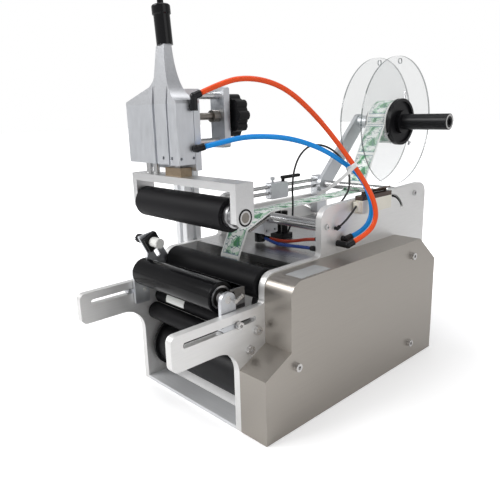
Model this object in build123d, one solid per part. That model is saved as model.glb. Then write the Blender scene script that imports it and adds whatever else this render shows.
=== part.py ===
"""Bottle labelling machine: side plates, rollers, press head, reel and drive as separate solids.

Units are millimetres. While modelling, X is the width with 0 midway between the side plates,
Y is the depth with 0 at the front of the legs and + to the back, and Z is up from the floor.
Each finished solid then shifts so that the origin is the middle of the front foot bar's underside.
"""
from build123d import *
from math import atan2, cos, degrees, pi, radians, sin, tan
import os

# Side plates
PLATE_GAP = 200.0
PLATE_T = 10.0
PLATE_REAR = 438.0
ARM_REACH = 99.5
ARM_BOTTOM = 118.0
ARM_TOP = 162.0
ARM_TIP_R = 9.0
LEG_FILLET = 34.0
STEP_Y = 46.0
SHOULDER_TOP = 200.0
SHOULDER_R = 20.0
UPPER_FRONT = 159.0
UPPER_TOP = 268.0
UPPER_TOP_REAR = 276.0
UPPER_R = 20.0
LEFT_EAR_BACK = 196.0
LEFT_EAR_FOOT = 216.0
LEFT_TOP = 240.0
SLOT_TIP_LAND = 16.5
SLOT_REAR = 31.0
SLOT_Z = 147.5
SLOT_W = 7.0
ARC_SLOT_W = 5.0
RIGHT_ARC_AHEAD = 102.0
RIGHT_ARC_DROP = 12.0
RIGHT_ARC_RUN = 30.0
RIGHT_ARC_FALL = 22.0
LEFT_ARC_AHEAD = 94.0
LEFT_ARC_DROP = 14.0
LEFT_ARC_RUN = 60.0
LEFT_ARC_FALL = 26.0
ARC_BOW = 0.12

# Foot bars, deck and cover
FOOT_BAR_DEPTH = 32.0
FOOT_BAR_T = 5.0
DECK_FRONT = 108.0
DECK_REAR = 430.0
DECK_T = 2.0
DECK_LIP = 18.0
COVER_W = 45.6
COVER_WALL = 1.5
COVER_STEP_Z = 86.8
COVER_SLOPE_Y = 46.5
COVER_SLOPE_Z = 108.7
COVER_TOP = 198.5
COVER_REAR = 397.3
COVER_REAR_Z = 157.3
COVER_TOP_REAR = 347.6
COVER_TOP_R = 20.0

# Rollers
AXIS_CLEARANCE = 0.05
DRIVE_Y = 60.0
DRIVE_Z = 182.0
DRIVE_R = 20.5
DRIVE_LEFT_GAP = 8.0
DRIVE_RIGHT_GAP = 2.0
SHAFT_R = 5.0
BEARING_R = 9.5
FRONT_Y = -4.0
FRONT_Z = 178.0
FRONT_R = 20.0
FRONT_END_GAP = 8.5
FRONT_BORE_R = 15.0
FRONT_AXLE_R = 5.0
NIP_R = 12.8
NIP_UPPER = (32.0, 131.4)
NIP_LOWER = (18.0, 109.1)
NIP_AXLE_R = 4.0
NIP_BOLT_R = 3.0
NIP_END_GAP = 4.0
REWIND_Y = 46.0
REWIND_Z = 52.0
REWIND_FLANGE_R = 38.0
REWIND_BODY_R = 33.0
REWIND_FLANGE_T = 4.0
REWIND_END_GAP = 7.0

# Drive inside the cover
MOTOR_Y = 160.0
MOTOR_Z = 110.0
MOTOR_R = 36.0
MOTOR_LEN = 96.0
MOTOR_SHAFT_R = 5.0
MOTOR_PULLEY_R = 12.0
DRIVE_PULLEY_R = 8.0
REWIND_PULLEY_R = 18.0
BELT_T = 1.4
BELT_W = 8.0
BELT_GAP = 0.3
ROLLER_BELT_X = 6.0
REWIND_BELT_X = 20.0
PULLEY_FLANGE_T = 1.2

# Roller brackets and bottle stop
EAR_T = 5.0
EAR_GAP = 1.5
EAR_R = 12.0
EAR_RISE = 9.5
EAR_FOOT_Z = 128.0
CLAMP_SCREW_Y = 0.0
SLIDE_KEY_FRONT = 25.0
SLIDE_KEY_REAR = 5.0
SLIDE_KEY_GAP = 0.3
CLAMP_WASHER_T = 1.6
WING_AHEAD = 9.0
WING_DROP = 3.0
WING_LEN = 13.0
WING_W = 4.5
BLADE_T = 2.0
BLADE_Y = 26.0
BLADE_LEFT = -40.0
BLADE_BOTTOM = 160.0
BLADE_TOP = 187.0
STOP_BAR_T = 4.0
STOP_BAR_W = 27.0
STOP_BAR_FOOT = (33.0, 186.0)
STOP_BAR_TOP = (11.0, 229.0)
STOP_TOP_TILT = 9.0
STOP_SLOT_W = 6.4
STOP_SLOT_FRONT = 8.0
STOP_SLOT_BACK = 28.0
STOP_AT = 0.72
STOP_PIN_R = 7.5
STOP_PIN_LEN = 18.0
STOP_BLOCK = 23.0
STOP_BLOCK_T = 6.0
STOP_WASHER_R = 9.0
STOP_WASHER_T = 2.5
STOP_NECK_R = 4.5
STOP_NECK_LEN = 7.0
STOP_KNOB_R = 6.8
STOP_KNOB_LEN = 19.0

# Press head
HEAD_Y = 18.5
YOKE_HALF = 109.0
YOKE_DEPTH = 29.0
YOKE_TOP = 318.3
YOKE_PLATE_T = 10.0
YOKE_BOTTOM = 266.0
YOKE_CHAMFER = 8.0
PRESS_Z = 277.0
PRESS_R = 21.0
PRESS_END_GAP = 3.0
PRESS_AXLE_R = 7.0
BLOCK_LEFT = -106.5
BLOCK_RIGHT = 8.5
BLOCK_AHEAD = 17.5
BLOCK_DEPTH = 27.0
BLOCK_BOTTOM = 334.0
BLOCK_TOP = 410.0
GROOVE_SHARES = (0.57, 0.826)
GROOVE_WIDTHS = (5.0, 3.0)
GROOVE_D = 3.0
HEAD_ROD_X = (-85.0, -68.0, -18.0)
HEAD_ROD_R = 4.5
HEAD_ROD_UP = 54.0
HEAD_ROD_GAP = 0.3
ROD_CLAMP_W = 34.0
ROD_CLAMP_D = 18.0
ROD_CLAMP_H = 11.0
SHROUD_H = 72.0
SHROUD_LIP = 4.0
SHROUD_SETBACK = 9.5
SHOULDER_RUN = 11.0
SHOULDER_RISE = 22.0
NECK_FOOT_RISE = 31.0
REAR_SHOULDER_RISE = 30.0
NECK_X = -31.0
NECK_W = 16.5
NECK_LEAN = 5.0
GRIP_R = 10.4
GRIP_CAP_R = 11.8
GRIP_LEN = 48.0
GRIP_CAP_H = 11.0
TIP_R = 4.0
TIP_H = 14.0

# Head carriage on the column
BACK_PLATE_T = 9.5
BACK_PLATE_BOTTOM = 325.0
CARRIAGE_X = -53.0
CARRIAGE_ROD_Z = (357.0, 421.0)
CARRIAGE_ROD_R = 5.0
SCREW_Z = 392.5
SCREW_R = 5.0
SCREW_COLLAR_R = 8.5
END_PLATE_W = 30.0
END_PLATE_T = 11.0
END_PLATE_FRONT = 120.0
END_PLATE_BOTTOM = 347.0
END_PLATE_TOP = 433.0
HOUSING_FRONT = 56.0
HOUSING_REAR = 80.0
HOUSING_RIGHT = -44.0
HOUSING_BOTTOM = 345.0
HOUSING_TOP = 430.0
COLUMN_W = 29.0
COLUMN_FRONT = 95.5
COLUMN_BOTTOM = 40.0
COLUMN_TOP = 428.0
COLUMN_SLOT_W = 8.0
COLUMN_SLOT_D = 6.0
WHEEL_R = 31.0
WHEEL_T = 20.0
WHEEL_LOBES = 9
WHEEL_LOBE_R = 7.0
WHEEL_GAP = 5.0

# Web guide and reel
TIE_Y = 170.6
TIE_Z = 240.7
TIE_R = 8.0
BAR_Y = 401.0
BAR_Z = 260.0
BAR_R = 7.0
BAR_BRACKET_W = 16.0
BAR_BRACKET_D = 26.0
BAR_BRACKET_BOTTOM = 205.0
BAR_BRACKET_TOP = 276.0
GUIDE_ROD_X = -91.0
GUIDE_ROD_Z = (257.5, 268.5)
GUIDE_ROD_R = 3.2
GUIDE_ROD_FRONT = 160.0
CLAMP_BLOCK_FRONT = 262.0
CLAMP_BLOCK_LEN = 44.0
CLAMP_BLOCK_W = 14.0
CLAMP_BLOCK_BOTTOM = 247.0
CLAMP_BLOCK_TOP = 275.0
LEVER_STUD_R = 3.0
LEVER_RISE = 7.0
LEVER_W = 8.0
LEVER_LEN = 48.0
LEVER_T = 6.0
WEB_CENTRE = -14.0
WEB_W = 40.0
WEB_T = 0.8
WEB_PEEL_R = 2.5
WEB_DROP = 50.0
WEB_DROP_R = 12.0
WEB_DROP_AHEAD = 10.0
LINER_LEFT = -67.0
LINER_GAP = 0.4
PEEL_Y = 121.0
PEEL_Z = 229.0
PEEL_T = 3.0
REEL_Y = 510.0
REEL_Z = 371.0
REEL_R = 117.0
REEL_DISC_T = 3.0
REEL_FAR_X = -37.0
REEL_NEAR_X = 6.5
ROLL_R = 39.0
ROLL_CORE_R = 34.0
HUB_FLANGE_R = 42.0
HUB_FLANGE_T = 9.0
HUB_BOSS_R = 21.0
HUB_SLEEVE_R = 14.0
HUB_SLEEVE_END = 110.0
SPINDLE_R = 6.0
REEL_ARM_X = -84.0
REEL_ARM_T = 8.0
REEL_ARM_W = 30.0

# Air cylinder, sensor and amplifier
BRAKE_W = 36.0
BRAKE_FRONT = 154.0
BRAKE_LEN = 30.0
BRAKE_H = 16.0
BRAKE_DROP = 4.0
SENSOR_Y = 212.0
SENSOR_POST_R = 5.0
AMP_FRONT = 236.0
AMP_LEN = 76.0
AMP_W = 13.0
AMP_BOTTOM = 250.0
AMP_H = 26.0
LID_T = 2.0
LID_OPEN = 25.0
LID_PIN_R = 1.0
LID_BARREL_R = 1.9
LID_INSET = 18.0
LID_LUG_T = 3.0
LID_GAP = 0.3

# Hoses and cables
HOSE_D = 7.0
INNER_HOSE_D = 5.0
CABLE_D = 3.0
ELBOW_R = 4.6
ELBOW_REACH = 10.0
KNEE_SWELL = 1.1
INNER_ELBOW_R = 3.6
INNER_REACH = 4.2
GLAND_R = 2.6
GLAND_REACH = 5.0
BRAKE_PORT_R = 8.0
BRAKE_PORT_H = 14.0
BRAKE_PORT_Y = 163.0

HALF_GAP = PLATE_GAP / 2
OUTER_X = HALF_GAP + PLATE_T
SHIFT = Pos(0, -FOOT_BAR_DEPTH / 2, 0)
RIGHT = (1, 0, 0)
BACK = (0, 1, 0)


def block(x0, x1, y0, y1, z0, z1):
    """Box between two corners."""
    size = Box(x1 - x0, y1 - y0, z1 - z0)
    return Pos((x0 + x1) / 2, (y0 + y1) / 2, (z0 + z1) / 2) * size


def rod_x(radius, x0, x1, y, z):
    """Round bar along X."""
    return Pos((x0 + x1) / 2, y, z) * Rot(0, 90, 0) * Cylinder(radius, x1 - x0)


def rod_y(radius, y0, y1, x, z):
    """Round bar along Y."""
    return Pos(x, (y0 + y1) / 2, z) * Rot(90, 0, 0) * Cylinder(radius, y1 - y0)


def rod_z(radius, z0, z1, x, y):
    """Round bar along Z."""
    return Pos(x, y, (z0 + z1) / 2) * Cylinder(radius, z1 - z0)


def tube_x(outer, inner, x0, x1, y, z):
    """Round tube along X."""
    return rod_x(outer, x0, x1, y, z) - rod_x(inner, x0 - 1, x1 + 1, y, z)


def side_profile(points, radii, x0, x1):
    """Flat piece with a filleted outline in the Y-Z plane, between two X values."""
    outline = FilletPolyline(*points, radius=radii, close=True)
    return extrude(Plane.YZ.offset(x0) * make_face(outline), x1 - x0)


def socket_head_x(radius, height, x, y, z, side):
    """Socket cap screw head standing on a face at x, pointing to side (+1 or -1)."""
    low, high = sorted((x, x + side * height))
    head = rod_x(radius, low, high, y, z)
    socket = Pos(x + side * height, y, z) * Rot(0, 90, 0) * extrude(
        RegularPolygon(radius * 0.5, 6), height * 0.6, both=True
    )
    return head - socket


def slot_cut(y0, y1, z, width, x0, x1):
    """Round-ended horizontal slot through a plate."""
    centre = (y0 + y1) / 2
    outline = Plane.YZ.offset(x0) * Pos(centre, z) * SlotOverall(y1 - y0, width)
    return extrude(outline, x1 - x0)


def plate_cuts(x0, x1):
    """Openings that both side plates share."""
    low, high = x0 - 1, x1 + 1
    cuts = slot_cut(SLOT_TIP_LAND - ARM_REACH, SLOT_REAR, SLOT_Z, SLOT_W, low, high)
    cuts += rod_x(BEARING_R, low, high, DRIVE_Y, DRIVE_Z)
    cuts += rod_x(BEARING_R, low, high, REWIND_Y, REWIND_Z)
    for y, z in (NIP_UPPER, NIP_LOWER):
        cuts += rod_x(NIP_BOLT_R, low, high, y, z)
    cuts += rod_x(NIP_BOLT_R, low, high, TIE_Y, TIE_Z)
    return cuts


def front_outline():
    """Outline from the upper front corner down to the leg, shared by both plates."""
    points = [
        (UPPER_FRONT, UPPER_TOP),
        (UPPER_FRONT, SHOULDER_TOP),
        (STEP_Y, SHOULDER_TOP),
        (STEP_Y, ARM_TOP),
        (-ARM_REACH, ARM_TOP),
        (-ARM_REACH, ARM_BOTTOM),
        (0, ARM_BOTTOM),
        (0, 0),
        (PLATE_REAR, 0),
    ]
    radii = [UPPER_R, 6, SHOULDER_R, 6, ARM_TIP_R, ARM_TIP_R, LEG_FILLET, 0, 0]
    return points, radii


def arc_slot(y, z, dy, dz, x0, x1):
    """Curved slot between two points, bowed towards the upper rear."""
    middle = (y + dy / 2 - ARC_BOW * dz, z + dz / 2 + ARC_BOW * dy)
    line = ThreePointArc((y, z), middle, (y + dy, z + dz))
    face = SlotArc(arc=line, height=ARC_SLOT_W)
    return extrude(Plane.YZ.offset(x0) * face, x1 - x0)


def right_side_plate():
    points, radii = front_outline()
    points += [(PLATE_REAR, UPPER_TOP_REAR)]
    radii += [UPPER_R]
    plate = side_profile(points, radii, HALF_GAP, OUTER_X)
    plate -= plate_cuts(HALF_GAP, OUTER_X)
    plate -= rod_x(NIP_BOLT_R, HALF_GAP - 1, OUTER_X + 1, BAR_Y, BAR_Z)
    plate -= rod_x(MOTOR_SHAFT_R + 7, HALF_GAP - 1, OUTER_X + 1, MOTOR_Y, MOTOR_Z)
    y, z = PLATE_REAR - RIGHT_ARC_AHEAD, UPPER_TOP_REAR - RIGHT_ARC_DROP
    plate -= arc_slot(y, z, RIGHT_ARC_RUN, -RIGHT_ARC_FALL, HALF_GAP - 1, OUTER_X + 1)
    return plate


def left_side_plate():
    points, radii = front_outline()
    points += [
        (PLATE_REAR, LEFT_TOP),
        (LEFT_EAR_FOOT, LEFT_TOP),
        (LEFT_EAR_BACK, UPPER_TOP),
    ]
    radii += [UPPER_R, 14, 12]
    plate = side_profile(points, radii, -OUTER_X, -HALF_GAP)
    plate -= plate_cuts(-OUTER_X, -HALF_GAP)
    y, z = PLATE_REAR - LEFT_ARC_AHEAD, LEFT_TOP - LEFT_ARC_DROP
    plate -= arc_slot(y, z, LEFT_ARC_RUN, -LEFT_ARC_FALL, -OUTER_X - 1, 1 - HALF_GAP)
    return plate


def foot_bars():
    front = block(-HALF_GAP, HALF_GAP, 0, FOOT_BAR_DEPTH, 0, FOOT_BAR_T)
    rear = block(-HALF_GAP, HALF_GAP, PLATE_REAR - FOOT_BAR_DEPTH, PLATE_REAR, 0, FOOT_BAR_T)
    return [front, rear]


def deck_panel():
    top = SHOULDER_TOP - DECK_T
    sheet = block(-HALF_GAP, HALF_GAP, DECK_FRONT, DECK_REAR, top, SHOULDER_TOP)
    lip = block(-HALF_GAP, HALF_GAP, DECK_FRONT, DECK_FRONT + DECK_T, top - DECK_LIP, top)
    return sheet + lip


def cover_outline(inset):
    """Side outline of the cover, inset from its outer face."""
    slope = atan2(COVER_SLOPE_Z - COVER_STEP_Z, COVER_SLOPE_Y)
    ease = inset * tan(slope / 2)
    bend = inset * tan((pi / 2 - slope) / 2)
    fall = atan2(COVER_TOP - COVER_REAR_Z, COVER_REAR - COVER_TOP_REAR)
    drop = inset * tan(fall / 2)
    side = inset * tan((pi / 2 - fall) / 2)
    points = [
        (inset, -1 if inset else 0),
        (inset, COVER_STEP_Z - bend),
        (COVER_SLOPE_Y + inset, COVER_SLOPE_Z - ease),
        (COVER_SLOPE_Y + inset, COVER_TOP - inset),
        (COVER_TOP_REAR - drop, COVER_TOP - inset),
        (COVER_REAR - inset, COVER_REAR_Z - side),
        (COVER_REAR - inset, -1 if inset else 0),
    ]
    radii = [0, 0, 0, COVER_TOP_R - inset, 0, 0, 0]
    return points, radii


def side_cover():
    """Folded sheet cover, open towards the plate and underneath."""
    points, radii = cover_outline(0)
    shell = side_profile(points, radii, OUTER_X, OUTER_X + COVER_W)
    points, radii = cover_outline(COVER_WALL)
    shell -= side_profile(points, radii, OUTER_X - 1, OUTER_X + COVER_W - COVER_WALL)
    for y, z in COVER_SCREWS:
        shell -= rod_x(NIP_BOLT_R, OUTER_X, OUTER_X + COVER_W + 1, y, z)
    return shell


COVER_SCREWS = ((55.7, 87.2), (325.4, 175.2), (327.1, 30.0))


def cover_screws():
    """Long screws with socket heads that hold the cover to the plate."""
    face = OUTER_X + COVER_W
    screws = []
    for y, z in COVER_SCREWS:
        stem = rod_x(NIP_BOLT_R - 0.2, OUTER_X, face, y, z)
        screws.append(stem + socket_head_x(5.5, 5, face, y, z, 1))
    return screws


def shaft_bearings():
    """Flanged bushes of the driven shafts in both plates."""
    bushes = []
    for y, z in ((DRIVE_Y, DRIVE_Z), (REWIND_Y, REWIND_Z)):
        for low in (-OUTER_X, HALF_GAP):
            bush = tube_x(BEARING_R, SHAFT_R + AXIS_CLEARANCE, low, low + PLATE_T, y, z)
            bushes.append(bush)
    return bushes


def drive_roller():
    left = -HALF_GAP + DRIVE_LEFT_GAP
    right = HALF_GAP - DRIVE_RIGHT_GAP
    sleeve = rod_x(DRIVE_R, left, right, DRIVE_Y, DRIVE_Z)
    sleeve = fillet(sleeve.edges().filter_by(GeomType.CIRCLE), 1.5)
    return sleeve - rod_x(SHAFT_R, left - 1, right + 1, DRIVE_Y, DRIVE_Z)


def pulley(radius, x, width, y, z):
    """Flanged pulley with its belt track starting at x."""
    body = rod_x(radius, x - PULLEY_FLANGE_T, x + width + PULLEY_FLANGE_T, y, z)
    for low in (x - PULLEY_FLANGE_T, x + width):
        body += rod_x(radius + BELT_T * 0.8, low, low + PULLEY_FLANGE_T, y, z)
    return body


def track(belt_x):
    """Start of a pulley's track, a little wider than the belt."""
    return OUTER_X + belt_x - BELT_GAP


TRACK_W = BELT_W + 2 * BELT_GAP


def drive_shaft():
    left = -OUTER_X - 3
    right = OUTER_X + ROLLER_BELT_X + BELT_W + 4
    shaft = rod_x(SHAFT_R, left, right, DRIVE_Y, DRIVE_Z)
    return shaft + pulley(DRIVE_PULLEY_R, track(ROLLER_BELT_X), TRACK_W, DRIVE_Y, DRIVE_Z)


def rewind_shaft():
    left = -OUTER_X - 3
    right = OUTER_X + REWIND_BELT_X + BELT_W + 4
    shaft = rod_x(SHAFT_R, left, right, REWIND_Y, REWIND_Z)
    return shaft + pulley(REWIND_PULLEY_R, track(REWIND_BELT_X), TRACK_W, REWIND_Y, REWIND_Z)


def rewind_drum():
    half = HALF_GAP - REWIND_END_GAP
    drum = rod_x(REWIND_BODY_R, -half, half, REWIND_Y, REWIND_Z)
    for low in (-half, half - REWIND_FLANGE_T):
        drum += rod_x(REWIND_FLANGE_R, low, low + REWIND_FLANGE_T, REWIND_Y, REWIND_Z)
    return drum - rod_x(SHAFT_R, -half - 1, half + 1, REWIND_Y, REWIND_Z)


def motor_pulley():
    """Motor shaft with both of its belt pulleys."""
    right = OUTER_X + REWIND_BELT_X + BELT_W + 4
    shaft = rod_x(MOTOR_SHAFT_R, HALF_GAP + AXIS_CLEARANCE, right, MOTOR_Y, MOTOR_Z)
    for belt_x in (ROLLER_BELT_X, REWIND_BELT_X):
        shaft += pulley(MOTOR_PULLEY_R, track(belt_x), TRACK_W, MOTOR_Y, MOTOR_Z)
    return shaft


def gear_motor():
    """Motor can and square gearbox bolted to the inner face of the right plate."""
    gearbox = MOTOR_R * 0.9
    low = HALF_GAP - MOTOR_LEN
    middle = HALF_GAP - MOTOR_LEN * 0.4
    can = rod_x(MOTOR_R, low, middle, MOTOR_Y, MOTOR_Z)
    case = block(middle, HALF_GAP, MOTOR_Y - gearbox, MOTOR_Y + gearbox,
                 MOTOR_Z - gearbox, MOTOR_Z + gearbox)
    cap = rod_x(MOTOR_R * 0.55, low - 12, low, MOTOR_Y, MOTOR_Z)
    return can + fillet(case.edges().filter_by(Axis.X), 6) + cap


def belt(r1, y1, z1, r2, y2, z2, x):
    """Open belt round two pulleys, clear of them by the belt gap."""
    span = ((y2 - y1) ** 2 + (z2 - z1) ** 2) ** 0.5
    tilt = degrees(atan2(z2 - z1, y2 - y1))

    def loop(extra):
        lean = (r2 - r1) / span
        a1, a2 = r1 + extra, r2 + extra
        rise = (1 - lean * lean) ** 0.5
        up1, up2 = (-lean * a1, rise * a1), (span - lean * a2, rise * a2)
        top = Line(up1, up2)
        far = ThreePointArc(up2, (span + a2, 0), (up2[0], -up2[1]))
        bottom = Line((up2[0], -up2[1]), (up1[0], -up1[1]))
        near = ThreePointArc((up1[0], -up1[1]), (-a1, 0), up1)
        return make_face([top, far, bottom, near])

    ring = loop(BELT_GAP + BELT_T) - loop(BELT_GAP)
    placed = Plane.YZ.offset(OUTER_X + x) * Pos(y1, z1) * Rot(0, 0, tilt) * ring
    return extrude(placed, BELT_W)


def drive_belts():
    upper = belt(DRIVE_PULLEY_R, DRIVE_Y, DRIVE_Z, MOTOR_PULLEY_R, MOTOR_Y, MOTOR_Z, ROLLER_BELT_X)
    lower = belt(REWIND_PULLEY_R, REWIND_Y, REWIND_Z, MOTOR_PULLEY_R, MOTOR_Y, MOTOR_Z, REWIND_BELT_X)
    return [upper, lower]


def nip_axles():
    """Dead axles with the bolt heads that hold them in the plates."""
    axles = []
    for y, z in (NIP_UPPER, NIP_LOWER):
        axle = rod_x(NIP_AXLE_R, -HALF_GAP, HALF_GAP, y, z)
        axle += rod_x(NIP_BOLT_R - 0.1, -OUTER_X, OUTER_X, y, z)
        axle += socket_head_x(5.5, 5, OUTER_X, y, z, 1)
        axle += socket_head_x(5.5, 5, -OUTER_X, y, z, -1)
        axles.append(axle)
    return axles


def nip_roller(y, z):
    half = HALF_GAP - NIP_END_GAP
    return tube_x(NIP_R, NIP_AXLE_R + AXIS_CLEARANCE, -half, half, y, z)


def ear(x0, x1):
    """Upright bracket ear with a round top, running down inside the plate's arm."""
    outline = [
        (FRONT_Y - EAR_R, EAR_FOOT_Z),
        (FRONT_Y + EAR_R, EAR_FOOT_Z),
        (FRONT_Y + EAR_R, FRONT_Z + EAR_RISE),
        (FRONT_Y - EAR_R, FRONT_Z + EAR_RISE),
    ]
    body = side_profile(outline, [2, 2, EAR_R - 0.1, EAR_R - 0.1], x0, x1)
    return body - rod_x(FRONT_AXLE_R, x0 - 1, x1 + 1, FRONT_Y, FRONT_Z)


def slide_key(x0, x1):
    """Key on the ear that runs in the arm's slot."""
    front, rear = CLAMP_SCREW_Y - SLIDE_KEY_FRONT, CLAMP_SCREW_Y + SLIDE_KEY_REAR
    return slot_cut(front, rear, SLOT_Z, SLOT_W - 2 * SLIDE_KEY_GAP, x0, x1)


def bracket_right():
    inner = HALF_GAP - EAR_GAP - EAR_T
    plate = ear(inner, inner + EAR_T)
    key = slide_key(inner + EAR_T, OUTER_X)
    return plate + key - rod_x(NIP_BOLT_R, inner - 1, OUTER_X, CLAMP_SCREW_Y, SLOT_Z)


def stop_direction():
    dy = STOP_BAR_TOP[0] - STOP_BAR_FOOT[0]
    dz = STOP_BAR_TOP[1] - STOP_BAR_FOOT[1]
    length = (dy * dy + dz * dz) ** 0.5
    return dy / length, dz / length, length


def stop_point():
    """Where the stop pin crosses the stop bar at rest."""
    y = STOP_BAR_FOOT[0] + (STOP_BAR_TOP[0] - STOP_BAR_FOOT[0]) * STOP_AT
    z = STOP_BAR_FOOT[1] + (STOP_BAR_TOP[1] - STOP_BAR_FOOT[1]) * STOP_AT
    return y, z


def stop_outline():
    """Outline of the stop's plate: a leaning bar with a level-cut top, on a foot that joins the ear."""
    dy, dz, length = stop_direction()
    turn = radians(STOP_TOP_TILT)
    half = STOP_BAR_W / 2 / (dz * cos(turn) - dy * sin(turn))
    front = (STOP_BAR_TOP[0] - half * cos(turn), STOP_BAR_TOP[1] - half * sin(turn))
    rear = (STOP_BAR_TOP[0] + half * cos(turn), STOP_BAR_TOP[1] + half * sin(turn))
    points = [
        front,
        (front[0] - dy * length * 0.7, front[1] - dz * length * 0.7),
        (FRONT_Y, FRONT_Z + EAR_R * 0.6),
        (FRONT_Y, FRONT_Z - EAR_R),
        (rear[0] - dy * length * 0.7, FRONT_Z - EAR_R),
        (rear[0] - dy * length, rear[1] - dz * length),
        rear,
    ]
    return points, [2, 6, 0, 0, 6, 8, 2]


def stop_bar_outer():
    """X of the stop bar's outer face."""
    return -HALF_GAP + EAR_GAP


def bracket_left():
    """Left ear with its key and the slotted bar of the bottle stop."""
    inner = -HALF_GAP + EAR_GAP
    plate = ear(inner, inner + EAR_T)
    plate += slide_key(-OUTER_X, inner)
    dy, dz, length = stop_direction()
    tilt = degrees(atan2(dz, dy))
    plate += side_profile(*stop_outline(), inner, inner + STOP_BAR_T)
    slot_len = STOP_SLOT_FRONT + STOP_SLOT_BACK
    slot_mid = (STOP_SLOT_FRONT - STOP_SLOT_BACK) / 2
    slot = Pos(*stop_point()) * Rot(0, 0, tilt) * Pos(slot_mid, 0) * SlotOverall(slot_len, STOP_SLOT_W)
    plate -= extrude(Plane.YZ.offset(inner - 1) * slot, EAR_T + 2)
    plate -= rod_x(FRONT_AXLE_R, inner - 1, inner + EAR_T + 1, FRONT_Y, FRONT_Z)
    return plate - rod_x(NIP_BOLT_R, -OUTER_X, inner + EAR_T + 1, CLAMP_SCREW_Y, SLOT_Z)


def clamp_screw(side):
    """Screw through an ear's key, with its washer against the key outside the arm."""
    inner = side * (HALF_GAP - EAR_GAP - EAR_T)
    face = side * OUTER_X
    low, high = sorted((inner, face))
    stem = rod_x(NIP_BOLT_R, low, high, CLAMP_SCREW_Y, SLOT_Z)
    low, high = sorted((face, face + side * CLAMP_WASHER_T))
    washer = rod_x(SLOT_W / 2 - SLIDE_KEY_GAP, low, high, CLAMP_SCREW_Y, SLOT_Z)
    head = socket_head_x(5, 5, face + side * CLAMP_WASHER_T, CLAMP_SCREW_Y, SLOT_Z, side)
    return stem + washer + head


def wing_screw():
    """Wing screw on the right ear's outer face that locks the front axle."""
    face = HALF_GAP - EAR_GAP
    y, z = FRONT_Y + WING_AHEAD, FRONT_Z - WING_DROP
    screw = rod_x(3, face, face + 5, y, z)
    wing = Pos(face + 3.5, y + WING_LEN / 2, z + WING_W / 2) * Rot(22, 0, 0) * Box(2, WING_LEN, WING_W)
    return screw + fillet(wing.edges().filter_by(Axis.X), 1)


def bracket_hardware():
    """Front axle, clamp screws and wing screw."""
    half = HALF_GAP - EAR_GAP
    axle = rod_x(FRONT_AXLE_R, -half, half, FRONT_Y, FRONT_Z)
    return [axle, clamp_screw(1), clamp_screw(-1), wing_screw()]


def guard_blade():
    """Bent sheet behind the front roller, carried by the right ear."""
    right = HALF_GAP - EAR_GAP - EAR_T
    long_wing = block(BLADE_LEFT, right, BLADE_Y, BLADE_Y + BLADE_T, BLADE_BOTTOM, BLADE_TOP)
    short_wing = block(right - BLADE_T, right, FRONT_Y + FRONT_AXLE_R + 2, BLADE_Y + BLADE_T,
                       BLADE_BOTTOM, BLADE_TOP)
    return long_wing + short_wing


def front_roller():
    half = HALF_GAP - EAR_GAP - EAR_T - FRONT_END_GAP
    tube = tube_x(FRONT_R, FRONT_BORE_R, -half, half, FRONT_Y, FRONT_Z)
    rims = tube.edges().filter_by(GeomType.CIRCLE).sort_by(lambda e: -e.radius)[:2]
    return fillet(rims, 1.2)


def front_roller_bearings():
    bearings = []
    half = HALF_GAP - EAR_GAP - EAR_T - FRONT_END_GAP
    for low in (-half, half - 9):
        ring = tube_x(FRONT_BORE_R, FRONT_AXLE_R + AXIS_CLEARANCE, low, low + 9, FRONT_Y, FRONT_Z)
        groove_x = low - 1 if low < 0 else low + 9 - 1.5
        ring -= tube_x(FRONT_BORE_R - 3, FRONT_AXLE_R + 3, groove_x, groove_x + 2.5, FRONT_Y, FRONT_Z)
        bearings.append(ring)
    return bearings


def stop_pin():
    """White pin that the bottle's end rests against."""
    y, z = stop_point()
    low = stop_bar_outer() + STOP_BAR_T + BELT_GAP + STOP_BLOCK_T
    pin = rod_x(STOP_PIN_R, low, low + STOP_PIN_LEN, y, z)
    tip = pin.faces().sort_by(Axis.X)[-1]
    return chamfer(tip.edges(), 0.8)


def stop_clamp():
    """Block, stud and thumb knob that clamp the stop pin on its bar."""
    y, z = stop_point()
    dy, dz, length = stop_direction()
    inner = stop_bar_outer() + STOP_BAR_T + BELT_GAP
    outer = stop_bar_outer() - BELT_GAP
    shape = Pos(y, z) * Rot(0, 0, degrees(atan2(dz, dy))) * RectangleRounded(STOP_BLOCK, STOP_BLOCK, 2)
    clamp = extrude(Plane.YZ.offset(inner) * shape, STOP_BLOCK_T)
    clamp += rod_x(STOP_SLOT_W / 2 - BELT_GAP, outer, inner, y, z)
    clamp += rod_x(STOP_WASHER_R, outer - STOP_WASHER_T, outer, y, z)
    near = outer - STOP_WASHER_T - STOP_NECK_LEN
    far = near - STOP_KNOB_LEN
    clamp += rod_x(STOP_NECK_R, near, outer - STOP_WASHER_T, y, z)
    knob = rod_x(STOP_KNOB_R, far, near, y, z)
    for i in range(12):
        turn = radians(30 * i)
        knob -= rod_x(1.0, far - 1, near - 2, y + STOP_KNOB_R * cos(turn), z + STOP_KNOB_R * sin(turn))
    return clamp + knob


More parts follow.
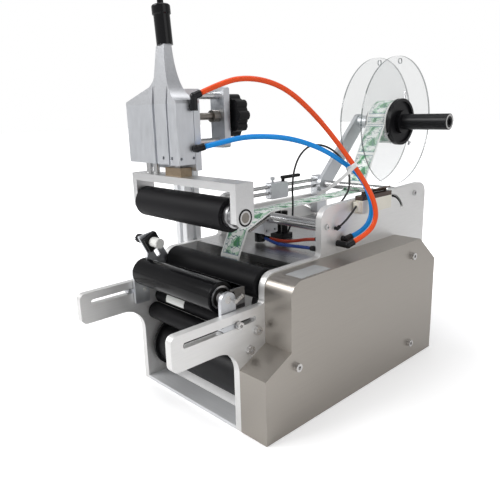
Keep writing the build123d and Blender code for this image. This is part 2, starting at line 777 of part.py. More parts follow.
def yoke_frame():
    """Top plate on two end plates with chamfered feet and axle holes."""
    front, rear = HEAD_Y - YOKE_DEPTH / 2, HEAD_Y + YOKE_DEPTH / 2
    frame = block(-YOKE_HALF, YOKE_HALF, front, rear, YOKE_TOP - YOKE_PLATE_T, YOKE_TOP)
    for x0 in (-YOKE_HALF, YOKE_HALF - YOKE_PLATE_T):
        outline = [
            (front, YOKE_TOP - YOKE_PLATE_T),
            (front, YOKE_BOTTOM + YOKE_CHAMFER * 0.6),
            (front + YOKE_CHAMFER * 0.6, YOKE_BOTTOM),
            (rear - YOKE_CHAMFER, YOKE_BOTTOM),
            (rear, YOKE_BOTTOM + YOKE_CHAMFER),
            (rear, YOKE_TOP - YOKE_PLATE_T),
        ]
        cheek = side_profile(outline, [0, 2, 2, 3, 3, 0], x0, x0 + YOKE_PLATE_T)
        frame += cheek - rod_x(PRESS_AXLE_R, x0 - 1, x0 + YOKE_PLATE_T + 1, HEAD_Y, PRESS_Z)
    return frame


def press_axle():
    """Axle that carries the press roller, with a shallow recess in each end."""
    axle = rod_x(PRESS_AXLE_R, -YOKE_HALF, YOKE_HALF, HEAD_Y, PRESS_Z)
    ring = tube_x(PRESS_AXLE_R - 1.4, PRESS_AXLE_R - 2.6, YOKE_HALF - 0.8, YOKE_HALF + 1, HEAD_Y, PRESS_Z)
    return axle - ring - mirror(ring, Plane.YZ)


def press_roller():
    end = YOKE_HALF - YOKE_PLATE_T - PRESS_END_GAP
    roller = tube_x(PRESS_R, PRESS_AXLE_R + AXIS_CLEARANCE, -end, end, HEAD_Y, PRESS_Z)
    for side in (1, -1):
        low, high = sorted((side * (end - 4), side * (end + 1)))
        roller -= tube_x(PRESS_R * 0.72, PRESS_AXLE_R + 3, low, high, HEAD_Y, PRESS_Z)
    return roller


def head_rod_top():
    return BLOCK_BOTTOM + HEAD_ROD_UP


def yoke_rods():
    """Piston rod and guide rods that run up into the cylinder block, and the roller's axle."""
    rods = [rod_z(HEAD_ROD_R, YOKE_TOP, head_rod_top(), x, HEAD_Y) for x in HEAD_ROD_X]
    return rods + [press_axle()]


def rod_clamp():
    """Brass clamp round the right-hand rod."""
    x = HEAD_ROD_X[2]
    half_w, half_d = ROD_CLAMP_W / 2, ROD_CLAMP_D / 2
    clamp = block(x - half_w, x + half_w, HEAD_Y - half_d, HEAD_Y + half_d,
                  YOKE_TOP, YOKE_TOP + ROD_CLAMP_H)
    return clamp - rod_z(HEAD_ROD_R, YOKE_TOP - 1, YOKE_TOP + ROD_CLAMP_H + 1, x, HEAD_Y)


def block_front():
    return HEAD_Y - BLOCK_AHEAD


def block_rear():
    return block_front() + BLOCK_DEPTH


def head_grooves(low, high):
    """Grooves down the front of the cylinder block that run on into the shroud."""
    cuts = []
    for share, width in zip(GROOVE_SHARES, GROOVE_WIDTHS):
        x = BLOCK_LEFT + (BLOCK_RIGHT - BLOCK_LEFT) * share
        cuts.append(block(x - width / 2, x + width / 2, block_front() - 1, block_front() + GROOVE_D, low, high))
    return cuts


def cylinder_block():
    """Extruded twin-rod cylinder with grooves down its front and low ports."""
    body = block(BLOCK_LEFT, BLOCK_RIGHT, block_front(), block_rear(), BLOCK_BOTTOM, BLOCK_TOP)
    body = chamfer(body.edges().filter_by(Axis.Z), 0.8)
    for x in HEAD_ROD_X:
        body -= rod_z(HEAD_ROD_R + HEAD_ROD_GAP, BLOCK_BOTTOM - 1, head_rod_top() + 3, x, HEAD_Y)
    for cut in head_grooves(BLOCK_BOTTOM - 1, BLOCK_TOP + 1):
        body -= cut
    width = BLOCK_RIGHT - BLOCK_LEFT
    for share in (0.711, 0.873):
        x = BLOCK_LEFT + width * share
        body -= rod_y(2.2, block_front() - 1, block_front() + 5, x, BLOCK_BOTTOM + 8.5)
    for y in (block_front() + 4.1, block_rear() - 3.3):
        body -= rod_x(1.9, BLOCK_RIGHT - 5, BLOCK_RIGHT + 1, y, BLOCK_BOTTOM + 8)
    return body


def neck_edge(side):
    """X and Z of the neck's top edge on one side; the top is square to the leaning grip."""
    turn = radians(NECK_LEAN)
    reach = side * NECK_W / 2
    return NECK_X + reach * cos(turn), BLOCK_TOP + SHROUD_H + reach * sin(turn)


def shroud_front():
    """Front outline of the shroud: a low shoulder on the left and a straight slope on the right."""
    left = neck_edge(-1)
    points = [
        (BLOCK_LEFT, BLOCK_TOP),
        (BLOCK_LEFT, BLOCK_TOP + SHROUD_LIP),
        (left[0] - SHOULDER_RUN, BLOCK_TOP + SHOULDER_RISE),
        (left[0] - 2, BLOCK_TOP + NECK_FOOT_RISE),
        left,
        neck_edge(1),
        (BLOCK_RIGHT, BLOCK_TOP),
    ]
    return points, [0, 3, 12, 8, 0, 0, 0]


def shroud_side():
    """Side outline of the shroud: front face leaning back, rounded shoulder over the back plate."""
    front, rear = block_front(), block_rear()
    behind = rear + BACK_PLATE_T
    top = BLOCK_TOP + SHROUD_H + NECK_W
    lean = SHROUD_SETBACK / SHROUD_H
    points = [
        (front, BLOCK_TOP),
        (behind, BLOCK_TOP),
        (behind, BLOCK_TOP + SHROUD_LIP),
        (rear, BLOCK_TOP + REAR_SHOULDER_RISE),
        (rear, top),
        (front + lean * (top - BLOCK_TOP), top),
    ]
    return points, [0, 0, 4, 14, 0, 0]


def head_shroud():
    """Tapered casting from the block's top to the square neck below the grip."""
    points, radii = shroud_front()
    outline = FilletPolyline(*points, radius=radii, close=True)
    front = Plane(origin=(0, block_front() - 1, 0), x_dir=(1, 0, 0), z_dir=(0, -1, 0))
    body = extrude(front * make_face(outline), -(BLOCK_DEPTH + BACK_PLATE_T + 2))
    points, radii = shroud_side()
    body &= side_profile(points, radii, BLOCK_LEFT - 1, BLOCK_RIGHT + 1)
    body -= carriage_lug()
    for cut in head_grooves(BLOCK_TOP - 1, BLOCK_TOP + SHROUD_H):
        body -= cut
    return body


def on_neck(piece):
    """Piece modelled up from the origin, set on the neck's leaning top."""
    return Pos(NECK_X, HEAD_Y, BLOCK_TOP + SHROUD_H) * Rot(0, -NECK_LEAN, 0) * piece


def lift_grip():
    """Black grip with a wider cap, turned as one profile, and its steel tip."""
    cap_low = GRIP_LEN - GRIP_CAP_H
    profile = Polyline(
        (0, 0),
        (GRIP_R, 0),
        (GRIP_R, cap_low - 1.5),
        (GRIP_CAP_R, cap_low),
        (GRIP_CAP_R, GRIP_LEN),
        (0, GRIP_LEN),
        close=True,
    )
    grip = revolve(Plane.XZ * make_face(profile), Axis.Z)
    grip = fillet(grip.edges().filter_by(GeomType.CIRCLE).sort_by(Axis.Z)[-1], 2.5)
    return [on_neck(grip), on_neck(grip_tip())]


def grip_tip():
    tip = rod_z(TIP_R, GRIP_LEN, GRIP_LEN + TIP_H, 0, 0)
    return chamfer(tip.edges().sort_by(Axis.Z)[-1], 1)


def run_direction(near, far):
    """Unit direction from one route point to another."""
    return (Vector(*far) - Vector(*near)).normalized()


def bar_between(start, end, radius):
    """Round bar from one point to another."""
    start, end = Vector(*start), Vector(*end)
    spot = Plane(origin=start, z_dir=end - start)
    return extrude(spot * Circle(radius), (end - start).length)


def elbow(end, before, radius, reach, wall_x):
    """Push-in elbow that takes a hose's end face to face and turns to a wall across X."""
    way = run_direction(before, end)
    knee = Vector(*end) + way * reach
    body = bar_between(end, knee, radius) + Pos(knee) * Sphere(radius * KNEE_SWELL)
    return body + bar_between(knee, (wall_x, knee.Y, knee.Z), radius)


def head_fittings():
    """Push-in elbows on the block's right face, one for each hose."""
    blue = elbow(BLUE_ROUTE[0], BLUE_ROUTE[1], ELBOW_R, ELBOW_REACH, BLOCK_RIGHT)
    way = run_direction(ORANGE_ROUTE[1], ORANGE_ROUTE[0])
    knee = Vector(*ORANGE_ROUTE[0]) + way * ELBOW_REACH
    low = BLOCK_TOP - 2 * ELBOW_R
    orange = bar_between(ORANGE_ROUTE[0], knee, ELBOW_R) + Pos(knee) * Sphere(ELBOW_R * KNEE_SWELL)
    orange += rod_z(ELBOW_R, low, knee.Z, knee.X, knee.Y)
    orange += rod_x(ELBOW_R, BLOCK_RIGHT, knee.X, knee.Y, low + ELBOW_R)
    return [orange, blue]


def carriage_lug():
    """Top of the back plate that holds the upper carriage rod."""
    half, rear = END_PLATE_W / 2, block_rear()
    return block(CARRIAGE_X - half, CARRIAGE_X + half, rear, rear + BACK_PLATE_T, BLOCK_TOP, END_PLATE_TOP)


def carriage_plates():
    """Back plate behind the cylinder and the end plate behind the column."""
    rear = block_rear()
    back = block(BLOCK_LEFT, BLOCK_RIGHT, rear, rear + BACK_PLATE_T, BACK_PLATE_BOTTOM, BLOCK_TOP)
    for z in CARRIAGE_ROD_Z[:1]:
        back -= rod_y(CARRIAGE_ROD_R, rear - 1, rear + BACK_PLATE_T + 1, CARRIAGE_X, z)
    half = END_PLATE_W / 2
    back += carriage_lug()
    back -= rod_y(CARRIAGE_ROD_R, rear - 1, rear + BACK_PLATE_T + 1, CARRIAGE_X, CARRIAGE_ROD_Z[1])
    front, behind = END_PLATE_FRONT, END_PLATE_FRONT + END_PLATE_T
    end = block(CARRIAGE_X - half, CARRIAGE_X + half, front, behind, END_PLATE_BOTTOM, END_PLATE_TOP)
    end = fillet(end.edges().filter_by(Axis.Y), 4)
    for z in CARRIAGE_ROD_Z:
        end -= rod_y(CARRIAGE_ROD_R, front - 1, behind + 1, CARRIAGE_X, z)
    end -= rod_y(SCREW_R + AXIS_CLEARANCE, front - 1, behind + 1, CARRIAGE_X, SCREW_Z)
    return [back, end]


def carriage_rods():
    low, high = block_rear(), END_PLATE_FRONT + END_PLATE_T
    return [rod_y(CARRIAGE_ROD_R, low, high, CARRIAGE_X, z) for z in CARRIAGE_ROD_Z]


def slide_housing():
    """Bearing block that the carriage rods run through, and its spacer on the column."""
    left = -OUTER_X - COLUMN_W
    body = block(left, HOUSING_RIGHT, HOUSING_FRONT, HOUSING_REAR, HOUSING_BOTTOM, HOUSING_TOP)
    spacer = block(left, -OUTER_X, HOUSING_REAR, COLUMN_FRONT, HOUSING_BOTTOM, HOUSING_TOP)
    for z in CARRIAGE_ROD_Z:
        body -= rod_y(CARRIAGE_ROD_R + AXIS_CLEARANCE, HOUSING_FRONT - 1, HOUSING_REAR + 1, CARRIAGE_X, z)
    body -= rod_y(SCREW_R + AXIS_CLEARANCE, HOUSING_FRONT - 1, HOUSING_REAR + 1, CARRIAGE_X, SCREW_Z)
    return [body, spacer]


def column_post():
    """Square aluminium profile with a T-slot down each side."""
    left = -OUTER_X - COLUMN_W
    rear = COLUMN_FRONT + COLUMN_W
    post = block(left, -OUTER_X, COLUMN_FRONT, rear, COLUMN_BOTTOM, COLUMN_TOP)
    post = fillet(post.edges().filter_by(Axis.Z), 1.5)
    middle_x, middle_y = left + COLUMN_W / 2, COLUMN_FRONT + COLUMN_W / 2
    half, deep = COLUMN_SLOT_W / 2, COLUMN_SLOT_D
    low, high = COLUMN_BOTTOM - 1, COLUMN_TOP + 1
    post -= block(middle_x - half, middle_x + half, COLUMN_FRONT - 1, COLUMN_FRONT + deep, low, high)
    post -= block(middle_x - half, middle_x + half, rear - deep, rear + 1, low, high)
    post -= block(left - 1, left + deep, middle_y - half, middle_y + half, low, high)
    post -= block(-OUTER_X - deep, -OUTER_X + 1, middle_y - half, middle_y + half, low, high)
    return post


def adjusting_screw():
    """Lead screw with the collar that bears on the end plate."""
    low = block_rear() + BACK_PLATE_T + 2
    high = END_PLATE_FRONT + END_PLATE_T + WHEEL_GAP + WHEEL_T
    screw = rod_y(SCREW_R, low, high, CARRIAGE_X, SCREW_Z)
    collar_end = END_PLATE_FRONT - BELT_GAP
    return screw + rod_y(SCREW_COLLAR_R, collar_end - 12, collar_end, CARRIAGE_X, SCREW_Z)


def handwheel():
    """Lobed knob on the screw behind the end plate."""
    front = END_PLATE_FRONT + END_PLATE_T + BELT_GAP
    disc = Circle(WHEEL_R - WHEEL_LOBE_R * 0.6)
    for i in range(WHEEL_LOBES):
        turn = 2 * pi * i / WHEEL_LOBES
        reach = WHEEL_R - WHEEL_LOBE_R
        disc += Pos(reach * cos(turn), reach * sin(turn)) * Circle(WHEEL_LOBE_R)
    start = front + WHEEL_GAP
    spot = Plane(origin=(CARRIAGE_X, start, SCREW_Z), x_dir=(1, 0, 0), z_dir=(0, 1, 0))
    wheel = extrude(spot * disc, WHEEL_T)
    hub = rod_y(SCREW_COLLAR_R + 2, front, start, CARRIAGE_X, SCREW_Z)
    bore = rod_y(SCREW_R, front - 1, END_PLATE_FRONT + END_PLATE_T + WHEEL_GAP + WHEEL_T, CARRIAGE_X, SCREW_Z)
    return wheel + hub - bore


def cross_bars():
    """Front tie rod and rear cross bar with their bolts, and the web guide rods."""
    tie = rod_x(TIE_R, -HALF_GAP, HALF_GAP, TIE_Y, TIE_Z)
    tie += rod_x(NIP_BOLT_R - 0.1, -OUTER_X, OUTER_X, TIE_Y, TIE_Z)
    for side in (1, -1):
        tie += socket_head_x(4.5, 3, side * OUTER_X, TIE_Y, TIE_Z, side)
    bar = rod_x(BAR_R, -HALF_GAP, HALF_GAP, BAR_Y, BAR_Z)
    bar += rod_x(NIP_BOLT_R - 0.1, HALF_GAP, OUTER_X, BAR_Y, BAR_Z)
    bar += socket_head_x(4.5, 3, OUTER_X, BAR_Y, BAR_Z, 1)
    return [tie, bar] + guide_rods()


def guide_brackets():
    """Rear bracket on the left plate, and the clamp block on the guide rods."""
    x0 = -HALF_GAP
    rear_y = BAR_Y - BAR_BRACKET_D / 2
    rear = block(x0, x0 + BAR_BRACKET_W, rear_y, rear_y + BAR_BRACKET_D, BAR_BRACKET_BOTTOM, BAR_BRACKET_TOP)
    rear = fillet(rear.edges().filter_by(Axis.X), 4)
    rear -= rod_x(BAR_R, x0 - 1, x0 + BAR_BRACKET_W + 1, BAR_Y, BAR_Z)
    half = CLAMP_BLOCK_W / 2
    clamp = block(GUIDE_ROD_X - half, GUIDE_ROD_X + half, CLAMP_BLOCK_FRONT,
                  CLAMP_BLOCK_FRONT + CLAMP_BLOCK_LEN, CLAMP_BLOCK_BOTTOM, CLAMP_BLOCK_TOP)
    clamp = fillet(clamp.edges().filter_by(Axis.X), 3)
    knob_y = CLAMP_BLOCK_FRONT + CLAMP_BLOCK_LEN * 0.25
    clamp += rod_z(2, CLAMP_BLOCK_TOP, CLAMP_BLOCK_TOP + 5, GUIDE_ROD_X, knob_y)
    clamp += rod_z(4, CLAMP_BLOCK_TOP + 5, CLAMP_BLOCK_TOP + 10, GUIDE_ROD_X, knob_y)
    for z in GUIDE_ROD_Z:
        clamp -= rod_y(GUIDE_ROD_R, GUIDE_ROD_FRONT, BAR_Y, GUIDE_ROD_X, z)
    return [rear, clamp]


def guide_rods():
    rear = BAR_Y - BAR_BRACKET_D / 2
    return [rod_y(GUIDE_ROD_R, GUIDE_ROD_FRONT, rear, GUIDE_ROD_X, z) for z in GUIDE_ROD_Z]


def clamp_lever():
    """Thumb lever on the clamp block, lying back along the guide rods."""
    y = CLAMP_BLOCK_FRONT + CLAMP_BLOCK_LEN - 2 * LEVER_STUD_R
    stud = rod_z(LEVER_STUD_R, CLAMP_BLOCK_TOP, CLAMP_BLOCK_TOP + LEVER_RISE, GUIDE_ROD_X, y)
    grip_y = y - LEVER_W / 2 + LEVER_LEN / 2
    grip = Pos(GUIDE_ROD_X, grip_y, CLAMP_BLOCK_TOP + LEVER_RISE) * Box(LEVER_W, LEVER_LEN, LEVER_T)
    return stud + fillet(grip.edges(), LEVER_T * 0.4)


def reel_arm():
    """Flat arm from the rear bar up to the reel, with the reel's spindle."""
    dy, dz = REEL_Y - BAR_Y, REEL_Z - BAR_Z
    length = (dy * dy + dz * dz) ** 0.5
    middle = Pos((BAR_Y + REEL_Y) / 2, (BAR_Z + REEL_Z) / 2)
    shape = middle * Rot(0, 0, degrees(atan2(dz, dy))) * SlotCenterToCenter(length, REEL_ARM_W)
    arm = extrude(Plane.YZ.offset(REEL_ARM_X) * shape, REEL_ARM_T)
    arm -= rod_x(BAR_R, REEL_ARM_X - 1, REEL_ARM_X + REEL_ARM_T + 1, BAR_Y, BAR_Z)
    face = REEL_ARM_X + REEL_ARM_T
    arm += rod_x(SPINDLE_R, face, HUB_SLEEVE_END - 6, REEL_Y, REEL_Z)
    return arm + rod_x(SPINDLE_R + 6, face, REEL_FAR_X - 9, REEL_Y, REEL_Z)


def reel_discs():
    discs = []
    for x in (REEL_FAR_X, REEL_NEAR_X):
        disc = rod_x(REEL_R, x, x + REEL_DISC_T, REEL_Y, REEL_Z)
        disc -= rod_x(HUB_SLEEVE_R, x - 1, x + REEL_DISC_T + 1, REEL_Y, REEL_Z)
        disc -= rod_x(5, x - 1, x + REEL_DISC_T + 1, REEL_Y, REEL_Z + REEL_R - 9)
        discs.append(disc)
    return discs


def label_roll():
    low = REEL_FAR_X + REEL_DISC_T
    return tube_x(ROLL_R, ROLL_CORE_R, low, REEL_NEAR_X, REEL_Y, REEL_Z)


def reel_hub():
    """Core drum, outer flange with its boss, and the long sleeve on the spindle."""
    far = REEL_FAR_X - 8
    hub = rod_x(ROLL_CORE_R, REEL_FAR_X + REEL_DISC_T, REEL_NEAR_X, REEL_Y, REEL_Z)
    hub += rod_x(HUB_SLEEVE_R, far, HUB_SLEEVE_END, REEL_Y, REEL_Z)
    hub += rod_x(HUB_BOSS_R + 6, far, REEL_FAR_X, REEL_Y, REEL_Z)
    flange_x = REEL_NEAR_X + REEL_DISC_T
    flange = rod_x(HUB_FLANGE_R, flange_x, flange_x + HUB_FLANGE_T, REEL_Y, REEL_Z)
    flange -= tube_x(HUB_FLANGE_R - 5, HUB_BOSS_R, flange_x + HUB_FLANGE_T - 4,
                     flange_x + HUB_FLANGE_T + 1, REEL_Y, REEL_Z)
    hub += flange + rod_x(HUB_BOSS_R, flange_x, flange_x + HUB_FLANGE_T + 4, REEL_Y, REEL_Z)
    hub -= rod_x(SPINDLE_R + AXIS_CLEARANCE, far - 1, HUB_SLEEVE_END + 1, REEL_Y, REEL_Z)
    return [hub] + hub_screws()


def hub_screws():
    """Thumb screws in the hub flange's rim."""
    x = REEL_NEAR_X + REEL_DISC_T + HUB_FLANGE_T / 2
    screws = []
    for angle in (205, 310, 75):
        turn = radians(angle)
        screw = rod_z(1.6, HUB_FLANGE_R, HUB_FLANGE_R + 12, 0, 0)
        screw += Pos(0, 0, HUB_FLANGE_R + 12) * Box(2.4, 8, 3)
        screws.append(Pos(x, REEL_Y, REEL_Z) * Rot(degrees(turn) - 90, 0, 0) * screw)
    return screws


def web_line():
    """Middle line of the label web from the roll to the nip, in the Y-Z plane."""
    return [
        (REEL_Y - ROLL_R - WEB_T, REEL_Z - 4),
        (BAR_Y + 0.62 * (BAR_R + WEB_T), BAR_Z - BAR_R - WEB_T),
        (TIE_Y - 0.19 * (TIE_R + WEB_T), TIE_Z + TIE_R + WEB_T),
        (PEEL_Y - 2, PEEL_Z + 1),
        (DECK_FRONT - WEB_DROP_AHEAD + 2, SHOULDER_TOP - 8),
        (DECK_FRONT - WEB_DROP_AHEAD, SHOULDER_TOP - WEB_DROP),
    ]


def label_web():
    """Paper web as a thin bent sheet, and the liner over the upper nip roller."""
    line = FilletPolyline(*web_line(), radius=[BAR_R + WEB_T, TIE_R + WEB_T, WEB_PEEL_R, WEB_DROP_R])
    strip = trace(line, WEB_T)
    low = WEB_CENTRE - WEB_W / 2
    web = extrude(Plane.YZ.offset(low) * strip, WEB_W)
    reach = NIP_R + LINER_GAP
    arc = CenterArc(NIP_UPPER, reach + WEB_T / 2, 40, 150)
    liner = extrude(Plane.YZ.offset(LINER_LEFT) * trace(arc, WEB_T), WEB_W + 2)
    return [web, liner]


def peel_plate():
    """Sloping sheet that the web runs down to its sharp edge."""
    half = WEB_W / 2 + 3
    outline = [
        (PEEL_Y, PEEL_Z - PEEL_T * 0.6),
        (TIE_Y - 2, TIE_Z + TIE_R - PEEL_T - 2),
        (TIE_Y - 2, TIE_Z + TIE_R - 2),
        (PEEL_Y, PEEL_Z),
    ]
    plate = side_profile(outline, 0, WEB_CENTRE - half, WEB_CENTRE + half)
    return plate - rod_x(TIE_R, WEB_CENTRE - half - 1, WEB_CENTRE + half + 1, TIE_Y, TIE_Z)


def brake_bottom():
    return TIE_Z - TIE_R - BRAKE_H


def brake_cylinder():
    """Compact air cylinder hung under the tie rod."""
    half = BRAKE_W / 2
    top = TIE_Z - BRAKE_DROP
    body = block(WEB_CENTRE - half, WEB_CENTRE + half, BRAKE_FRONT, BRAKE_FRONT + BRAKE_LEN,
                 brake_bottom(), top)
    body = fillet(body.edges().filter_by(Axis.X), 2)
    for y in (BRAKE_FRONT + 6, BRAKE_FRONT + BRAKE_LEN - 6):
        body -= rod_x(1.8, WEB_CENTRE + half - 8, WEB_CENTRE + half + 1, y, brake_bottom() + 5)
    return body - rod_x(TIE_R, WEB_CENTRE - half - 1, WEB_CENTRE + half + 1, TIE_Y, TIE_Z)


def web_sensor():
    """Fork sensor: two black posts on a foot that stands on the deck."""
    foot = block(WEB_CENTRE - 14, WEB_CENTRE + 14, SENSOR_Y - 12, SENSOR_Y + 12,
                 SHOULDER_TOP, SHOULDER_TOP + 8)
    sensor = fillet(foot.edges().filter_by(Axis.Z), 2)
    for x in (WEB_CENTRE - 7, WEB_CENTRE + 7):
        sensor += rod_z(SENSOR_POST_R, SHOULDER_TOP + 8, TIE_Z + 3, x, SENSOR_Y)
    return sensor


def hose_fittings():
    """Bulkhead elbows and cable glands in the right plate, and those under the air cylinder."""
    fittings = [
        elbow(ORANGE_ROUTE[-1], ORANGE_ROUTE[-2], ELBOW_R, ELBOW_REACH, OUTER_X),
        elbow(BLUE_ROUTE[-1], BLUE_ROUTE[-2], ELBOW_R, ELBOW_REACH, OUTER_X),
        elbow(AMP_ROUTE[-1], AMP_ROUTE[-2], GLAND_R, GLAND_REACH, OUTER_X),
        elbow(INNER_ORANGE_ROUTE[-1], INNER_ORANGE_ROUTE[-2], INNER_ELBOW_R, INNER_REACH, HALF_GAP),
        elbow(INNER_BLUE_ROUTE[-1], INNER_BLUE_ROUTE[-2], INNER_ELBOW_R, INNER_REACH, HALF_GAP),
        elbow(SENSOR_ROUTE[-1], SENSOR_ROUTE[-2], GLAND_R, GLAND_REACH, HALF_GAP),
    ]
    port = rod_z(BRAKE_PORT_R, brake_bottom() - BRAKE_PORT_H, brake_bottom(), WEB_CENTRE, BRAKE_PORT_Y)
    for route in (INNER_ORANGE_ROUTE, INNER_BLUE_ROUTE):
        way = run_direction(route[1], route[0])
        port += bar_between(route[0], Vector(*route[0]) + way * BRAKE_PORT_R * 1.4, INNER_ELBOW_R)
    return fittings + [port]


def lid_hinge():
    """Hinge line of the amplifier's lid as X, Z and its two Y ends."""
    x = OUTER_X + LID_BARREL_R + LID_GAP
    z = AMP_BOTTOM + AMP_H + LID_BARREL_R + LID_GAP
    return x, z, AMP_FRONT + LID_INSET, AMP_FRONT + AMP_LEN - LID_LUG_T - LID_GAP


def amplifier_box():
    """Case on the right plate, with the pin and lugs of its lid's hinge."""
    face, top = OUTER_X, AMP_BOTTOM + AMP_H
    box = block(face, face + AMP_W, AMP_FRONT, AMP_FRONT + AMP_LEN, AMP_BOTTOM, top)
    box += block(face + 2, face + AMP_W - 2, AMP_FRONT - 7, AMP_FRONT, AMP_BOTTOM + 4, AMP_BOTTOM + 18)
    x, z, front, rear = lid_hinge()
    front_lug, rear_lug = front - LID_GAP - LID_LUG_T, rear + LID_GAP
    for low in (front_lug, rear_lug):
        box += block(x - LID_BARREL_R, x + LID_BARREL_R, low, low + LID_LUG_T, top, z + LID_BARREL_R)
    return box + rod_y(LID_PIN_R, front_lug, rear_lug + LID_LUG_T, x, z)


def amplifier_lid():
    """Smoky lid on its hinge barrel, standing a little open."""
    x, z, front, rear = lid_hinge()
    lid = rod_y(LID_BARREL_R, front, rear, 0, 0)
    lid += block(0, AMP_W - LID_BARREL_R, front, rear, -LID_T / 2, LID_T / 2)
    lid -= rod_y(LID_PIN_R + AXIS_CLEARANCE, front - 1, rear + 1, 0, 0)
    return Pos(x, 0, z) * Rot(0, -LID_OPEN, 0) * lid


ORANGE_ROUTE = [
    (17, 34, 422), (30, 64, 436), (43, 90, 440), (55, 120, 435), (66, 146, 422), (78, 173, 398),
    (90, 197, 370), (102, 216, 342), (116, 226, 318), (130, 235, 293), (141, 240, 268),
    (145, 239, 245), (142, 225, 227), (132, 204, 217),
]
BLUE_ROUTE = [
    (19, 35, 356), (31, 56, 361), (43, 80, 366), (55, 106, 366), (67, 134, 363), (78, 164, 355),
    (88, 195, 342), (96, 221, 326), (106, 243, 309), (120, 246, 292), (131, 245, 270),
    (133, 246, 248), (129, 233, 228), (120, 216, 221),
]
INNER_ORANGE_ROUTE = [(3, 168, 208), (24, 172, 206), (48, 177, 210), (70, 177, 216), (91, 172, 220)]
INNER_BLUE_ROUTE = [(1, 160, 210), (22, 157, 206), (46, 160, 206), (70, 164, 207), (91, 161, 209)]
SENSOR_ROUTE = [
    (-1, 212, 208), (8, 214, 228), (13, 210, 254), (16, 205, 282), (20, 204, 310), (28, 209, 334),
    (39, 221, 348), (53, 238, 346), (66, 254, 332), (78, 261, 311), (88, 254, 291), (94, 238, 275), (95, 219, 265),
]
AMP_ROUTE = [(117, 229, 262), (120, 219, 258), (121, 208, 252), (120, 199, 245), (116, 193, 239)]


def bend_radii(points):
    """Largest arcs that a route's runs allow."""
    radii = []
    for before, here, after in zip(points, points[1:], points[2:]):
        a, b = Vector(*here) - Vector(*before), Vector(*after) - Vector(*here)
        turn = radians(a.get_angle(b))
        radii.append(0.45 * min(a.length, b.length) / tan(turn / 2))
    return radii


def hose(points, diameter, name):
    """Round tube along straight runs joined by tangent arcs."""
    radii = bend_radii(points)
    path = FilletPolyline(*points, radius=radii)
    section = Plane(origin=path @ 0, z_dir=path % 0) * Circle(diameter / 2)
    tube = sweep(section, path=path)
    ratio = tube.volume / (pi * diameter ** 2 / 4 * path.length)
    print(name, "length", round(path.length, 1), "least radius", round(min(radii), 1),
          "volume ratio", round(ratio, 4))
    return tube


NODES = {
    "right_side_plate": right_side_plate,
    "left_side_plate": left_side_plate,
    "foot_bars": foot_bars,
    "deck_panel": deck_panel,
    "side_cover": side_cover,
    "cover_screws": cover_screws,
    "shaft_bearings": shaft_bearings,
    "drive_roller": drive_roller,
    "drive_shaft": drive_shaft,
    "rewind_drum": rewind_drum,
    "rewind_shaft": rewind_shaft,
    "gear_motor": gear_motor,
    "motor_pulley": motor_pulley,
    "drive_belts": drive_belts,
    "nip_axles": nip_axles,
    "nip_roller_upper": lambda: nip_roller(*NIP_UPPER),
    "nip_roller_lower": lambda: nip_roller(*NIP_LOWER),
    "bracket_right": bracket_right,
    "bracket_left": bracket_left,
    "bracket_hardware": bracket_hardware,
    "guard_blade": guard_blade,
    "front_roller": front_roller,
    "front_roller_bearings": front_roller_bearings,
    "stop_pin": stop_pin,
    "stop_clamp": stop_clamp,
    "yoke_frame": yoke_frame,
    "press_roller": press_roller,
    "yoke_rods": yoke_rods,
    "rod_clamp": rod_clamp,
    "cylinder_block": cylinder_block,
    "head_shroud": head_shroud,
    "lift_grip": lift_grip,
    "head_fittings": head_fittings,
    "carriage_plates": carriage_plates,
    "carriage_rods": carriage_rods,
    "slide_housing": slide_housing,
    "column_post": column_post,
    "adjusting_screw": adjusting_screw,
    "handwheel": handwheel,
    "cross_bars": cross_bars,
    "guide_brackets": guide_brackets,
    "clamp_lever": clamp_lever,
    "reel_arm": reel_arm,
    "reel_discs": reel_discs,
    "label_roll": label_roll,
    "reel_hub": reel_hub,
    "label_web": label_web,
    "peel_plate": peel_plate,
    "brake_cylinder": brake_cylinder,
    "web_sensor": web_sensor,
    "hose_fittings": hose_fittings,
    "amplifier_box": amplifier_box,
    "amplifier_lid": amplifier_lid,
    "inner_orange_hose": lambda: hose(INNER_ORANGE_ROUTE, INNER_HOSE_D, "inner_orange_hose"),
    "inner_blue_hose": lambda: hose(INNER_BLUE_ROUTE, INNER_HOSE_D, "inner_blue_hose"),
    "sensor_cable": lambda: hose(SENSOR_ROUTE, CABLE_D, "sensor_cable"),
    "amplifier_cable": lambda: hose(AMP_ROUTE, CABLE_D, "amplifier_cable"),
    "orange_hose": lambda: hose(ORANGE_ROUTE, HOSE_D, "orange_hose"),
    "blue_hose": lambda: hose(BLUE_ROUTE, HOSE_D, "blue_hose"),
}

os.makedirs("parts", exist_ok=True)
for name, make in NODES.items():
    made = make()
    solids = made if isinstance(made, list) else [made]
    placed = [SHIFT * solid for solid in solids]
    shape = placed[0] if len(placed) == 1 else Compound(children=placed)
    export_step(shape, f"parts/{name}.step")
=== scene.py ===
from math import cos, pi, radians, sin, tan

import bmesh
import bpy
from mathutils import Matrix, Vector


